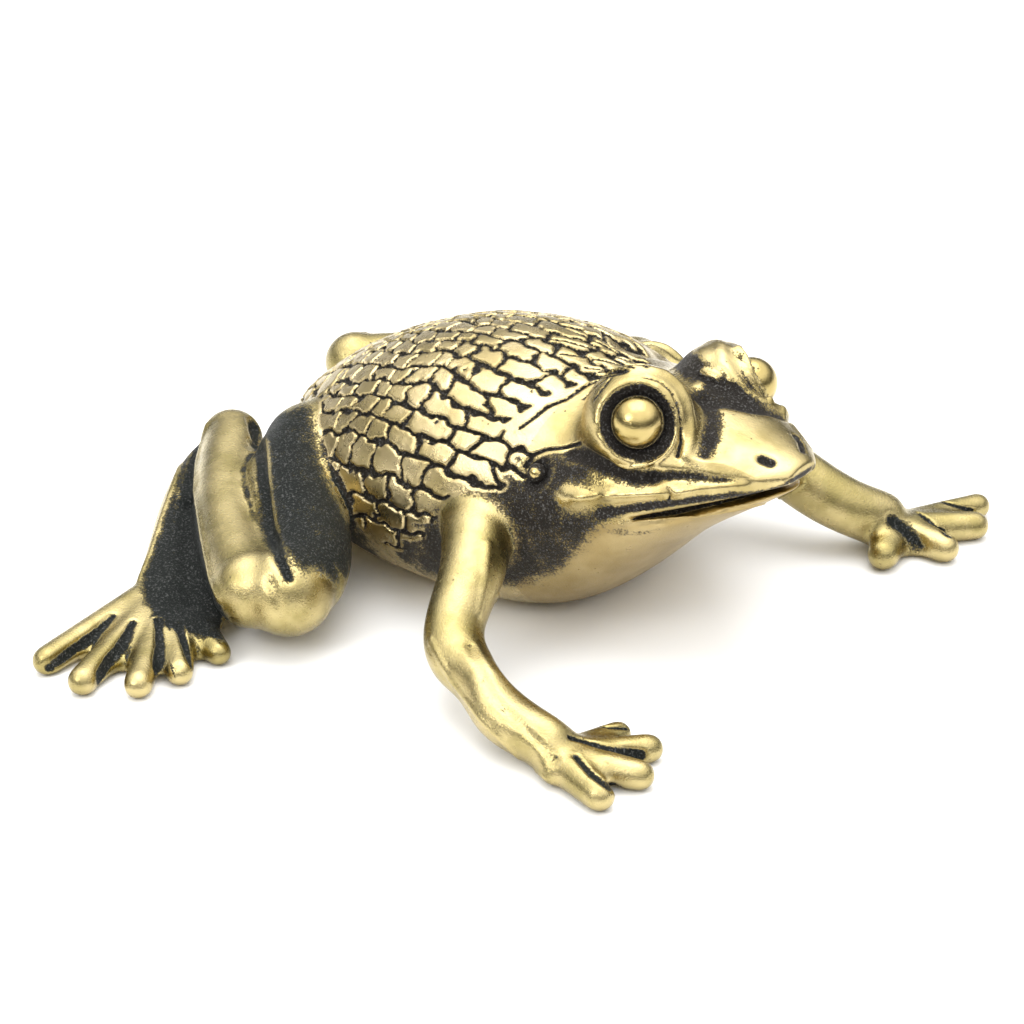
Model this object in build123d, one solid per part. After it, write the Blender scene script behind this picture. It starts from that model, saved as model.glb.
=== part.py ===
from build123d import *
import math
import os

# A small brass frog that sits with its legs spread and its head raised.
# Lengths are in millimetres, angles in degrees. X points where the frog looks,
# Y to its left and Z up. The ground is at height zero.

# Body, from the rump to the snout
body_length = 57.0
body_half_width = 15.5
body_height = 22.0
neck_share = 0.605
head_turn = 4.5
section_points = 20

# Mouth: its corner in head lengths forward and body heights up, and the slot's
# outline from there in body lengths forward and mouth gaps up
mouth_corner_shares = (0.320, 0.595)
mouth_pitch = 19.4
mouth_gap = 0.9
mouth_slot_depth = 2.0
mouth_slot_shares = [(0, 0), (0.13, -1.0), (0.30, -0.7), (0.30, 0)]
jaw_peg_radius = 2.0
jaw_peg_length = 2.5

# Eyes: the middle of each mound in head lengths forward, half widths outward
# and body heights up
right_eye_shares = (0.395, -0.355, 0.964)
left_eye_shares = (0.395, 0.355, 0.886)
eye_mound_radius = 5.0
eye_turn = 52.0
eye_lift = 26.0
eyeball_radius = 2.3
eye_groove_width = 0.95
eye_groove_depth = 0.9

# Ears, nostrils and the bead on the crown, placed the same way
ear_shares = (0.120, 0.755)
ear_bead_radius = 0.85
ear_bead_sink = 0.35
ear_ring_radius = 1.45
ear_dish_lift = 0.5
nostril_shares = (0.857, 0.148, 0.827)
nostril_radius = 0.55
nostril_lift = 60.0
crown_bead_shares = (0.435, 0.084, 0.595)
crown_bead_radius = 0.75

# Neck joint
neck_tenon_radius = 4.0
neck_tenon_length = 5.0
neck_tenon_lap = 2.0
neck_tenon_height_share = 0.718

# Forelegs: the shoulder in body lengths, half widths and heights
shoulder_shares = (0.551, 0.884, 0.477)
foreleg_reach = 20.0
foreleg_radius = 2.7
hand_length = 5.9
finger_radius = 1.3
palm_half_width = 2.9
palm_thickness = 3.0
shoulder_tenon_radius = 1.8
shoulder_tenon_length = 4.5
shoulder_tenon_lap = 1.5

# Hind legs: the hip in body lengths, half widths and heights
hip_shares = (0.151, 0.619, 0.405)
hind_leg_reach = 20.0
thigh_radius = 4.0
shank_radius = 2.9
tarsus_half_width = 4.0
tarsus_thickness = 3.2
toe_radius = 1.3
leg_web_half_width = 3.2
leg_web_thickness = 3.4
hip_tenon_radius = 2.2
hip_tenon_length = 5.0
hip_tenon_lap = 2.5

# Skin between the toes, flat soles and fits
web_thickness = 1.0
web_reach_share = 0.86
web_notch_share = 0.66
toe_root_share = 1.15
bulge_share = 1.03
sole_depth = 0.15
fit_clearance = 0.05
overrun = 2.0

# Body sections: along the body, height of the widest line, half width,
# height above that line, depth below it and roundness of the lower flank
body_shares = [
    (0.000, 0.336, 0.116, 0.073, 0.073, 0.90),
    (0.040, 0.345, 0.335, 0.177, 0.191, 0.86),
    (0.128, 0.373, 0.645, 0.336, 0.350, 0.80),
    (0.260, 0.427, 0.905, 0.473, 0.441, 0.72),
    (0.400, 0.473, 0.994, 0.527, 0.487, 0.70),
    (0.523, 0.505, 0.968, 0.500, 0.519, 0.72),
    (0.628, 0.568, 0.877, 0.388, 0.546, 0.80),
    (0.716, 0.640, 0.787, 0.352, 0.456, 0.86),
    (0.804, 0.727, 0.658, 0.292, 0.312, 0.90),
    (0.882, 0.791, 0.490, 0.191, 0.205, 0.92),
    (0.953, 0.836, 0.297, 0.100, 0.118, 0.95),
    (1.000, 0.859, 0.129, 0.045, 0.050, 1.00),
]

# Foreleg paths from the shoulder to the wrist: forward and outward in reaches,
# height between the palm and the shoulder, thickness in foreleg radii
right_foreleg_shares = [
    (-0.045, -0.170, 1.05, 1.22),
    (0.000, 0.000, 1.00, 1.20),
    (0.095, 0.145, 0.92, 1.12),
    (0.180, 0.300, 0.78, 1.03),
    (0.260, 0.495, 0.54, 0.97),
    (0.435, 0.620, 0.37, 0.90),
    (0.650, 0.705, 0.25, 0.86),
    (0.825, 0.720, 0.15, 0.87),
    (0.970, 0.720, 0.07, 0.86),
]
left_foreleg_shares = [
    (-0.045, -0.170, 1.05, 1.22),
    (0.000, 0.000, 1.00, 1.20),
    (0.190, 0.100, 0.90, 1.06),
    (0.390, 0.160, 0.77, 1.02),
    (0.580, 0.180, 0.61, 1.00),
    (0.755, 0.235, 0.40, 0.98),
    (0.880, 0.320, 0.24, 0.96),
    (0.955, 0.410, 0.10, 0.92),
]

# Palm in front of the wrist: forward in hand lengths, half width, thickness
palm_shares = [
    (0.20, 1.00, 1.20),
    (0.45, 0.72, 0.80),
]

# Toes of the hands: base and tip from the palm's centre in hand lengths,
# forward and outward, then thickness in finger radii
right_finger_shares = [
    (0.14, 0.16, 0.92, 0.40, 1.06),
    (0.22, -0.06, 1.03, -0.38, 1.04),
    (0.12, -0.24, 0.70, -1.04, 1.00),
    (-0.10, -0.30, 0.10, -1.13, 0.88),
]
left_finger_shares = [
    (0.06, -0.20, 0.28, -0.82, 1.16),
    (0.22, -0.04, 0.89, -0.03, 1.08),
    (0.16, 0.14, 0.85, 0.89, 1.06),
    (0.02, 0.26, 0.51, 1.51, 0.96),
]

# Hind leg paths from the hip: forward and outward in reaches, height in hip
# heights, thickness in thigh or shank radii
thigh_shares = [
    (0.000, 0.000, 0.98, 1.14),
    (0.210, 0.345, 0.84, 1.06),
    (0.450, 0.560, 0.72, 0.98),
    (0.588, 0.772, 0.64, 0.95),
]
knee_shares = (0.580, 0.835, 0.63, 1.02)
leg_web_shares = [
    (-0.290, 0.045, 0.78, 0.90),
    (0.010, 0.380, 0.72, 1.00),
    (0.310, 0.650, 0.62, 1.00),
    (0.500, 0.840, 0.55, 0.80),
]
right_shank_shares = [
    (0.430, 0.910, 0.60, 1.16),
    (0.180, 0.740, 0.64, 1.05),
    (-0.160, 0.420, 0.71, 0.98),
    (-0.490, 0.010, 0.77, 0.94),
]
left_shank_shares = [
    (0.430, 0.910, 0.60, 1.16),
    (0.160, 0.740, 0.64, 1.05),
    (-0.210, 0.430, 0.71, 0.98),
    (-0.560, 0.030, 0.79, 0.94),
]
right_heel_shares = (-0.515, -0.010, 0.75, 1.00)
left_heel_shares = (-0.585, 0.015, 0.79, 1.02)

# Foot plates from the heel down to the toes: forward and outward in reaches,
# height in hip heights, half width and thickness in those of the tarsus
right_tarsus_shares = [
    (-0.555, 0.010, 0.54, 0.72, 1.25),
    (-0.390, 0.345, 0.46, 0.88, 1.10),
    (-0.150, 0.670, 0.35, 1.03, 0.90),
    (0.060, 0.970, 0.23, 1.13, 0.72),
    (0.125, 1.095, 0.16, 1.14, 0.55),
]
left_tarsus_shares = [
    (-0.590, 0.020, 0.54, 0.72, 1.25),
    (-0.480, 0.300, 0.46, 0.88, 1.10),
    (-0.330, 0.550, 0.35, 1.05, 0.90),
    (-0.200, 0.770, 0.23, 1.14, 0.72),
    (-0.150, 0.880, 0.16, 1.10, 0.55),
]
# Toes of the feet: base and tip from the hip in reaches, then thickness
right_toe_shares = [
    (-0.120, 1.030, -0.090, 1.660, 1.05),
    (-0.020, 1.100, 0.150, 1.690, 1.03),
    (0.075, 1.130, 0.355, 1.560, 1.00),
    (0.190, 1.120, 0.420, 1.370, 0.96),
    (0.270, 1.060, 0.435, 1.140, 0.92),
]
left_toe_shares = [
    (-0.340, 0.800, -0.520, 1.250, 1.05),
    (-0.270, 0.870, -0.340, 1.330, 1.03),
    (-0.180, 0.900, -0.100, 1.285, 1.00),
    (-0.090, 0.870, 0.080, 1.210, 0.96),
    (-0.020, 0.800, 0.200, 1.080, 0.92),
]


def share_between(low, high, share):
    """Place between two values."""
    return low + (high - low) * share


def body_wire(share_row, inset):
    """One closed cross section of the body, narrowed all round by the inset."""
    along, centre, width, above, below, roundness = share_row
    x = body_length * along
    y = -max(x - body_length * neck_share, 0) * math.tan(math.radians(head_turn))
    points = []
    for step in range(section_points):
        turn = 2 * math.pi * step / section_points
        across = math.cos(turn)
        upward = math.sin(turn)
        half_height = body_height * (above if upward >= 0 else below) - inset
        if upward < 0:
            across = math.copysign(abs(across) ** roundness, across)
            upward = math.copysign(abs(upward) ** roundness, upward)
        half_width = body_half_width * width - inset
        points.append((x, y + half_width * across, body_height * centre + half_height * upward))
    return Wire([Edge.make_spline(points, periodic=True)])


def body_solid(inset=0):
    """The whole body from rump to snout, or a thinner one inside it."""
    wires = []
    for row in body_shares:
        room = min(body_half_width * row[2], body_height * row[3], body_height * row[4])
        if room > inset:
            wires.append(body_wire(row, inset))
    return Solid.make_loft(wires)


def head_point(shares):
    """A point of the head from shares of its length, half width and height, turned with the head."""
    turn = math.radians(head_turn)
    forward = body_length * (1 - neck_share) * shares[0]
    side = body_half_width * shares[1]
    height = body_height * shares[2]
    x = body_length * neck_share + forward * math.cos(turn) + side * math.sin(turn)
    y = -forward * math.sin(turn) + side * math.cos(turn)
    return Vector(x, y, height)


def head_direction(turn, lift):
    """A direction turned from the snout to the frog's left, then lifted."""
    heading = math.radians(turn - head_turn)
    rise = math.radians(lift)
    return Vector(math.cos(heading) * math.cos(rise), math.sin(heading) * math.cos(rise), math.sin(rise))


def skin_hit(skin, start, direction):
    """Where a line from inside leaves the skin, and the outward normal there."""
    best = None
    for point, normal in skin.find_intersection_points(Axis(start, direction)):
        distance = (point - start).dot(direction)
        if distance > 0 and (best is None or distance < best[0]):
            best = (distance, point, normal)
    point, normal = best[1], best[2]
    if normal.dot(direction) < 0:
        normal = -normal
    return point, normal


def ball(radius, centre, pole=Vector(0, 0, 1)):
    """A sphere, with its poles on a line through its centre."""
    return Solid.make_sphere(radius, Plane(centre, z_dir=pole))


def peg(radius, length, start, direction):
    """A round peg from its start along a direction."""
    return Solid.make_cylinder(radius, length, Plane(start, z_dir=direction))


def cross_planes(points):
    """A plane square to the path at each of its points, with X lying level."""
    planes = []
    for index, point in enumerate(points):
        before = points[max(index - 1, 0)]
        after = points[min(index + 1, len(points) - 1)]
        along = (after - before).normalized()
        level = along.cross(Vector(0, 0, 1)).normalized()
        planes.append(Plane(point, x_dir=level, z_dir=along))
    return planes


def limb(points, half_widths, half_heights):
    """A limb with oval sections, wide across its path."""
    rows = zip(half_widths, half_heights, cross_planes(points))
    return Solid.make_loft([Wire.make_ellipse(wide, high, plane) for wide, high, plane in rows])


def toe(base, tip, radius):
    """A toe turned round its own line, thicker at its root and round at both ends."""
    along = (tip - base).normalized()
    level = along.cross(Vector(0, 0, 1)).normalized()
    plane = Plane(base, x_dir=along, z_dir=level)
    length = (tip - base).length
    root_radius = radius * toe_root_share
    bow = math.sqrt(0.5)
    tip_bow = (length + radius * bow, radius * bow)
    root_bow = (-root_radius * bow, root_radius * bow)
    profile = [
        Edge.make_line((-root_radius, 0), (length + radius, 0)),
        Edge.make_three_point_arc((length + radius, 0), tip_bow, (length, radius)),
        Edge.make_line((length, radius), (0, root_radius)),
        Edge.make_three_point_arc((0, root_radius), root_bow, (-root_radius, 0)),
    ]
    outline = plane * Face(Wire(profile))
    return Solid.revolve(outline, 360, Axis(base, along))


def skin_fan(root, bases, tips, thickness):
    """Skin stretched between toes, flat and close to the ground."""
    outline = [root]
    for index, tip in enumerate(tips):
        if index > 0:
            before = share_between(bases[index - 1], tips[index - 1], web_notch_share)
            after = share_between(bases[index], tip, web_notch_share)
            outline.append((before + after) / 2)
        outline.append(share_between(bases[index], tip, web_reach_share))
    face = Face(Wire.make_polygon([Vector(p.X, p.Y, 0) for p in outline]))
    return Solid.extrude(face, Vector(0, 0, thickness))


def on_ground(shape):
    """Cut off what would be below the ground."""
    box = shape.bounding_box()
    slab = Box(box.size.X + 2 * overrun, box.size.Y + 2 * overrun, overrun + abs(box.min.Z))
    centre = box.center()
    return shape - Pos(centre.X, centre.Y, -(overrun + abs(box.min.Z)) / 2) * slab


def largest_solid(shape):
    """The biggest solid of a shape."""
    return shape.solids().sort_by(SortBy.VOLUME)[-1]


def grown_together(shapes):
    """The shapes fused one after another, each to what is already there."""
    whole = shapes[0]
    for shape in shapes[1:]:
        whole = whole.fuse(shape)
    return whole


def foreleg(side, path_shares, finger_shares, body):
    """Arm, hand and four toes, coped to the flank, with the tool that cuts its socket."""
    palm_height = palm_thickness / 2 - sole_depth
    points = []
    half_widths = []
    for forward, outward, height, thickness in path_shares:
        x = body_length * shoulder_shares[0] + foreleg_reach * forward
        y = side * (body_half_width * shoulder_shares[1] + foreleg_reach * outward)
        z = share_between(palm_height, body_height * shoulder_shares[2], height)
        points.append(Vector(x, y, z))
        half_widths.append(foreleg_radius * thickness)
    half_heights = list(half_widths)
    along = points[-1] - points[-2]
    along = Vector(along.X, along.Y, 0).normalized()
    for forward, width, height in palm_shares:
        place = points[len(path_shares) - 1] + along * hand_length * forward
        points.append(Vector(place.X, place.Y, palm_height))
        half_widths.append(palm_half_width * width)
        half_heights.append(palm_thickness / 2 * height)
    palm_centre = points[len(path_shares)]
    bases = []
    tips = []
    toes = []
    for base_forward, base_outward, tip_forward, tip_outward, thickness in finger_shares:
        radius = finger_radius * thickness
        base = palm_centre + Vector(hand_length * base_forward, side * hand_length * base_outward, 0)
        tip = palm_centre + Vector(hand_length * tip_forward, side * hand_length * tip_outward, 0)
        base = Vector(base.X, base.Y, radius * toe_root_share - sole_depth)
        tip = Vector(tip.X, tip.Y, radius - sole_depth)
        bases.append(base)
        tips.append(tip)
        toes.append(toe(base, tip, radius))
    fan = skin_fan(palm_centre - along * finger_radius, bases, tips, web_thickness)
    arm = grown_together([limb(points, half_widths, half_heights), fan] + toes)
    arm = largest_solid(on_ground(arm) - body)
    inward = (points[0] - points[1]).normalized()
    return joined(arm, points[1], inward, shoulder_tenon_radius, shoulder_tenon_length, shoulder_tenon_lap)


def joined(piece, root, inward, radius, length, lap):
    """A piece with its tenon, and the tool that cuts the tenon's socket."""
    start = root - inward * lap
    tenon = peg(radius, lap + length, start, inward)
    socket = peg(radius + fit_clearance, lap + length + fit_clearance, start, inward)
    return largest_solid(piece.fuse(tenon)), socket


def hip_point(side, forward, outward, height):
    """A point of the hind leg, from shares of its reach and of the hip's height."""
    x = body_length * hip_shares[0] + hind_leg_reach * forward
    y = side * (body_half_width * hip_shares[1] + hind_leg_reach * outward)
    return Vector(x, y, body_height * hip_shares[2] * height)


def hind_limb(side, rows, half_width, half_height):
    """One stretch of the hind leg, from rows of shares."""
    points = [hip_point(side, *row[:3]) for row in rows]
    wide = [half_width * row[3] for row in rows]
    high = [half_height * row[-1] for row in rows]
    return limb(points, wide, high)


def hind_bulge(side, row, next_row, radius):
    """A round bulge of the hind leg at one row of shares, turned to face the next."""
    centre = hip_point(side, *row[:3])
    return ball(radius * row[-1], centre, (hip_point(side, *next_row[:3]) - centre).normalized())


def hind_leg(side, shank_shares, heel_shares, tarsus_shares, toe_shares, body):
    """Folded hind leg with foot plate and five toes, and the tool that cuts its socket."""
    thigh = hind_limb(side, thigh_shares, thigh_radius, thigh_radius)
    shank = hind_limb(side, shank_shares, shank_radius, shank_radius)
    tarsus = hind_limb(side, tarsus_shares, tarsus_half_width, tarsus_thickness / 2)
    leg_web = hind_limb(side, leg_web_shares, leg_web_half_width, leg_web_thickness / 2)
    bulges = [hind_bulge(side, knee_shares, thigh_shares[-1], thigh_radius)]
    bulges.append(hind_bulge(side, heel_shares, shank_shares[0], shank_radius))
    bulges.append(hind_bulge(side, thigh_shares[0], thigh_shares[1], thigh_radius * bulge_share))
    bulges.append(hind_bulge(side, shank_shares[0], shank_shares[1], shank_radius * bulge_share))
    bases = []
    tips = []
    toes = []
    for base_forward, base_outward, tip_forward, tip_outward, thickness in toe_shares:
        radius = toe_radius * thickness
        base = hip_point(side, base_forward, base_outward, 0)
        tip = hip_point(side, tip_forward, tip_outward, 0)
        base = Vector(base.X, base.Y, radius * toe_root_share - sole_depth)
        tip = Vector(tip.X, tip.Y, radius - sole_depth)
        bases.append(base)
        tips.append(tip)
        toes.append(toe(base, tip, radius))
    fan = skin_fan(hip_point(side, *tarsus_shares[-2][:3]), bases, tips, web_thickness)
    leg = grown_together([thigh, shank, tarsus, leg_web, fan] + bulges + toes)
    leg = largest_solid(on_ground(leg) - body)
    root = hip_point(side, *thigh_shares[0][:3])
    inward = (root - hip_point(side, *thigh_shares[1][:3])).normalized()
    return joined(leg, root, inward, hip_tenon_radius, hip_tenon_length, hip_tenon_lap)


def eye(side, mound_centre):
    """The groove and pocket to cut in an eye mound, and the eyeball that fits there."""
    outward = head_direction(side * eye_turn, eye_lift)
    groove_radius = eyeball_radius + eye_groove_width
    rim_distance = math.sqrt(max(eye_mound_radius ** 2 - groove_radius ** 2, 0))
    centre = mound_centre + outward * (rim_distance - eye_groove_depth)
    groove = peg(groove_radius, eye_mound_radius, centre, outward)
    pocket = ball(eyeball_radius + fit_clearance, centre)
    return [groove, pocket], ball(eyeball_radius, centre)


def eardrum(side, skin):
    """The dish and pocket to cut in the cheek, and the bead that fits there."""
    start = head_point((ear_shares[0], 0, ear_shares[1]))
    point, normal = skin_hit(skin, start, head_direction(side * 90, 0))
    dish = ball(ear_ring_radius, point + normal * ear_dish_lift)
    centre = point - normal * ear_bead_sink
    return [dish, ball(ear_bead_radius + fit_clearance, centre)], ball(ear_bead_radius, centre)


core = on_ground(body_solid())
skin = core.faces().sort_by(SortBy.AREA)[-1]

# The neck and mouth planes divide the body into torso, head and lower jaw
ahead = Box(body_length, 4 * body_half_width, 4 * body_height, align=(Align.MIN, Align.CENTER, Align.CENTER))
ahead = Pos(body_length * neck_share, 0, 0) * ahead
mouth_plane = Plane(head_point((mouth_corner_shares[0], 0, mouth_corner_shares[1])),
                    x_dir=head_direction(0, mouth_pitch),
                    z_dir=head_direction(0, mouth_pitch + 90))
above = mouth_plane * Box(2 * body_length, 4 * body_half_width, 2 * body_height,
                          align=(Align.CENTER, Align.CENTER, Align.MIN))
front = core & ahead
head = front & above
lower_jaw = front - above

# The open mouth is a slot in the top of the jaw, round a seat in its middle
slot_points = []
for forward, upward in mouth_slot_shares:
    corner = (body_length * forward, -2 * body_half_width, mouth_gap * upward)
    slot_points.append(mouth_plane.from_local_coords(corner))
slot = Solid.extrude(Face(Wire.make_polygon(slot_points)), mouth_plane.y_dir * 4 * body_half_width)
lower_jaw = lower_jaw - (slot - body_solid(mouth_slot_depth))

# The jaw's peg stands in a socket of the head
jaw_peg_root = mouth_plane.origin - mouth_plane.z_dir * jaw_peg_radius
jaw_peg = peg(jaw_peg_radius, jaw_peg_radius + jaw_peg_length, jaw_peg_root, mouth_plane.z_dir)
jaw_socket = peg(jaw_peg_radius + fit_clearance, jaw_peg_radius + jaw_peg_length + fit_clearance,
                 jaw_peg_root, mouth_plane.z_dir)
lower_jaw = lower_jaw + jaw_peg

# Eye mounds, eyes, ears, nostrils and the bead on the crown
pieces = {}
cuts = [jaw_socket]
for side, name, eye_shares in ((-1, "right", right_eye_shares), (1, "left", left_eye_shares)):
    mound_centre = head_point(eye_shares)
    head = head + ball(eye_mound_radius, mound_centre)
    eye_cuts, eyeball = eye(side, mound_centre)
    ear_cuts, ear_bead = eardrum(side, skin)
    nostril_start = head_point((nostril_shares[0], side * nostril_shares[1], nostril_shares[2]))
    nostril, _ = skin_hit(skin, nostril_start, head_direction(0, nostril_lift))
    cuts += eye_cuts + ear_cuts + [ball(nostril_radius, nostril)]
    pieces[name + "_eyeball"] = eyeball
    pieces[name + "_eardrum"] = ear_bead
crown, _ = skin_hit(skin, head_point(crown_bead_shares), Vector(0, 0, 1))
head = head + ball(crown_bead_radius, crown)
for cut in cuts:
    head = head - cut

# The head's neck tenon stands in a socket of the torso
neck_start = Vector(body_length * neck_share + neck_tenon_lap, 0, body_height * neck_tenon_height_share)
backward = Vector(-1, 0, 0)
head, neck_socket = joined(head, neck_start, backward, neck_tenon_radius,
                           neck_tenon_length + neck_tenon_lap, 0)

# Legs, each with a tenon in a socket of the torso
torso = (core - ahead) - neck_socket
right_arm, right_shoulder_socket = foreleg(-1, right_foreleg_shares, right_finger_shares, core)
left_arm, left_shoulder_socket = foreleg(1, left_foreleg_shares, left_finger_shares, core)
right_leg, right_hip_socket = hind_leg(-1, right_shank_shares, right_heel_shares,
                                       right_tarsus_shares, right_toe_shares, core)
left_leg, left_hip_socket = hind_leg(1, left_shank_shares, left_heel_shares,
                                     left_tarsus_shares, left_toe_shares, core)
torso = torso - right_shoulder_socket - left_shoulder_socket - right_hip_socket - left_hip_socket
pieces["right_foreleg"] = right_arm
pieces["left_foreleg"] = left_arm
pieces["right_hind_leg"] = right_leg
pieces["left_hind_leg"] = left_leg

pieces["torso"] = torso
pieces["head"] = head
pieces["lower_jaw"] = lower_jaw

# The origin is on the ground, under the middle of the whole figure
whole = Compound([largest_solid(piece) for piece in pieces.values()]).bounding_box()
to_origin = Pos(-whole.center().X, -whole.center().Y, -whole.min.Z)
os.makedirs("parts", exist_ok=True)
for name, piece in pieces.items():
    export_step(to_origin * largest_solid(piece), "parts/" + name + ".step")
    print(name, len(piece.solids()), round(piece.volume, 2))
print("size", round(whole.size.X, 2), round(whole.size.Y, 2), round(whole.size.Z, 2))
print("rump at", round(-whole.center().X, 3), "middle at", round(-whole.center().Y, 3))
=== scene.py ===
"""Dresses the brass frog: one cast skin over its solids, carved, darkened and rubbed bright."""

import logging
import math
from dataclasses import dataclass
from enum import Enum

import bmesh
import bpy
import numpy as np
from mathutils import Matrix, Vector
from mathutils.bvhtree import BVHTree


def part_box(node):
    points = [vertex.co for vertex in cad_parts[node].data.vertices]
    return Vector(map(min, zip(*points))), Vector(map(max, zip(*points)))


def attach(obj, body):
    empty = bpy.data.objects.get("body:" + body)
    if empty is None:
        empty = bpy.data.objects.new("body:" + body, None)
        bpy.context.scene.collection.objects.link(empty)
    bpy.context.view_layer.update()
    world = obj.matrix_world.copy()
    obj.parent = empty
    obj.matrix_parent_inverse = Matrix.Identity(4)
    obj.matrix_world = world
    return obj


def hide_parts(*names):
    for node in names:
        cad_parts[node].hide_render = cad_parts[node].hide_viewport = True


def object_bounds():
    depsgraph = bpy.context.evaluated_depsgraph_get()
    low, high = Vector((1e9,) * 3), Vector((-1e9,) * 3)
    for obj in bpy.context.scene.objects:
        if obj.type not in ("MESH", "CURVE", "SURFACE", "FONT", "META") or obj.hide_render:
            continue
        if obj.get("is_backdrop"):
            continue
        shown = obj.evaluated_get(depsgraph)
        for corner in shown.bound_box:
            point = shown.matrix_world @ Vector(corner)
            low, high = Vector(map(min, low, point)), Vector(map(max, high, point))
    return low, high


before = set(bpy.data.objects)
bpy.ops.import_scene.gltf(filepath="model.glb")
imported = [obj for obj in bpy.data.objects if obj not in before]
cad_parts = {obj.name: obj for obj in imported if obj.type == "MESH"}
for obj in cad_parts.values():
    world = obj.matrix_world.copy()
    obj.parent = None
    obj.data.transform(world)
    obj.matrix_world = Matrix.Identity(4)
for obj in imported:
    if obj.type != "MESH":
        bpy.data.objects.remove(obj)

log = logging.getLogger("frog")

MM = 0.001
BODY = "root"
Pixel = tuple[float, float]
Triple = tuple[float, float, float]

# Where the edge of a flat stroke starts to fall, in half widths
FLAT_SHARE = 0.6
# Turns a direction into its mirror image on the body's other side
OTHER_SIDE = np.array([1.0, -1.0, 1.0])
# Large odd numbers that scatter the values of the lattice noise
AXIS_PRIMES = (73856093, 19349663, 83492791)
SEED_PRIME = 2654435761
MIXING_PRIME = 1274126177
NOISE_LEVELS = 0xFFFF


@dataclass(frozen=True)
class PhotoCamera:
    """The viewpoint of the photograph. Lengths are in millimetres, angles in degrees.

    The aim is the place that is seen at the aim's pixel, the distance is measured along the view,
    and one pixel there shows the pixel size.
    """

    azimuth: float = 38.5
    elevation: float = 28.0
    distance: float = 332.0
    pixel_size: float = 0.0875
    aim: Triple = (26.118, 2.4, 0.0)
    aim_pixel: Pixel = (760.0, 650.0)
    middle: float = 512.0
    sensor: float = 36.0
    clip: tuple[float, float] = (10.0, 10000.0)

    @property
    def focal(self) -> float:
        """Focal length in pixels."""
        return self.distance / self.pixel_size

    def axes(self) -> tuple[np.ndarray, np.ndarray, np.ndarray]:
        """The camera's directions.

        Returns:
            Unit vectors to the picture's right, to its top and along the view.
        """
        turn, tilt = math.radians(self.azimuth), math.radians(self.elevation)
        right = np.array([math.cos(turn), math.sin(turn), 0.0])
        ahead = np.array([-math.sin(turn), math.cos(turn), 0.0])
        rise = np.array([0.0, 0.0, 1.0])
        view = ahead * math.cos(tilt) - rise * math.sin(tilt)
        up = ahead * math.sin(tilt) + rise * math.cos(tilt)
        return right, up, view

    def ray(self, pixel: Pixel) -> np.ndarray:
        """The direction seen at a pixel.

        Args:
            pixel: Place in the picture, from its top left corner.

        Returns:
            A vector whose length along the view is one.
        """
        right, up, view = self.axes()
        across = (pixel[0] - self.middle) / self.focal
        upward = (self.middle - pixel[1]) / self.focal
        return view + right * across + up * upward

    def place(self) -> np.ndarray:
        """Where the camera stands, in millimetres."""
        return np.array(self.aim) - self.ray(self.aim_pixel) * self.distance

    def project(self, points: np.ndarray) -> np.ndarray:
        """Pixels at which points are seen.

        Args:
            points: Places in millimetres, one row each.

        Returns:
            Pixels, one row each.
        """
        right, up, view = self.axes()
        away = points - self.place()
        depth = away @ view
        x = self.middle + self.focal * (away @ right) / depth
        y = self.middle - self.focal * (away @ up) / depth
        return np.stack([x, y], axis=1)

    def facing(self, points: np.ndarray, normals: np.ndarray) -> np.ndarray:
        """How far each surface point faces the camera.

        Args:
            points: Places in millimetres, one row each.
            normals: Outward directions there.

        Returns:
            One value from -1 to 1 for each point.
        """
        back = self.place() - points
        back /= np.linalg.norm(back, axis=1)[:, None]
        return (back * normals).sum(axis=1)

    def build(self) -> None:
        """Makes the scene's camera."""
        lens = bpy.data.cameras.new("photo_camera")
        lens.sensor_width = self.sensor
        lens.lens = self.focal * self.sensor / (2 * self.middle)
        lens.clip_start = self.clip[0] * MM
        lens.clip_end = self.clip[1] * MM
        lens.dof.use_dof = False
        camera = bpy.data.objects.new("photo_camera", lens)
        bpy.context.scene.collection.objects.link(camera)
        right, up, view = self.axes()
        turn = Matrix((right, up, -view)).transposed().to_4x4()
        camera.matrix_world = Matrix.Translation(Vector(self.place() * MM)) @ turn
        bpy.context.scene.camera = camera


def smooth_step(values: np.ndarray, low: float, high: float) -> np.ndarray:
    """A soft ramp from 0 at the low value to 1 at the high one."""
    share = np.clip((values - low) / (high - low), 0.0, 1.0)
    return share * share * (3.0 - 2.0 * share)


def lattice_noise(points: np.ndarray, grain: float, seed: int) -> np.ndarray:
    """Smooth noise in space.

    Args:
        points: Places in millimetres, one row each.
        grain: Size of the noise's lumps in millimetres.
        seed: Number that picks the pattern.

    Returns:
        One value from 0 to 1 for each point.
    """
    scaled = points / grain
    corner = np.floor(scaled)
    share = scaled - corner
    share = share * share * (3.0 - 2.0 * share)
    corner = corner.astype(np.int64)
    total = np.zeros(len(points))
    for step in range(8):
        shift = np.array([step & 1, (step >> 1) & 1, step >> 2])
        cell = corner + shift
        mixed = np.bitwise_xor.reduce(cell * np.array(AXIS_PRIMES), axis=1) ^ seed * SEED_PRIME
        mixed = (mixed ^ (mixed >> 13)) * MIXING_PRIME
        value = ((mixed ^ (mixed >> 16)) & NOISE_LEVELS) / NOISE_LEVELS
        weight = np.where(shift == 1, share, 1.0 - share).prod(axis=1)
        total += value * weight
    return total


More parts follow.
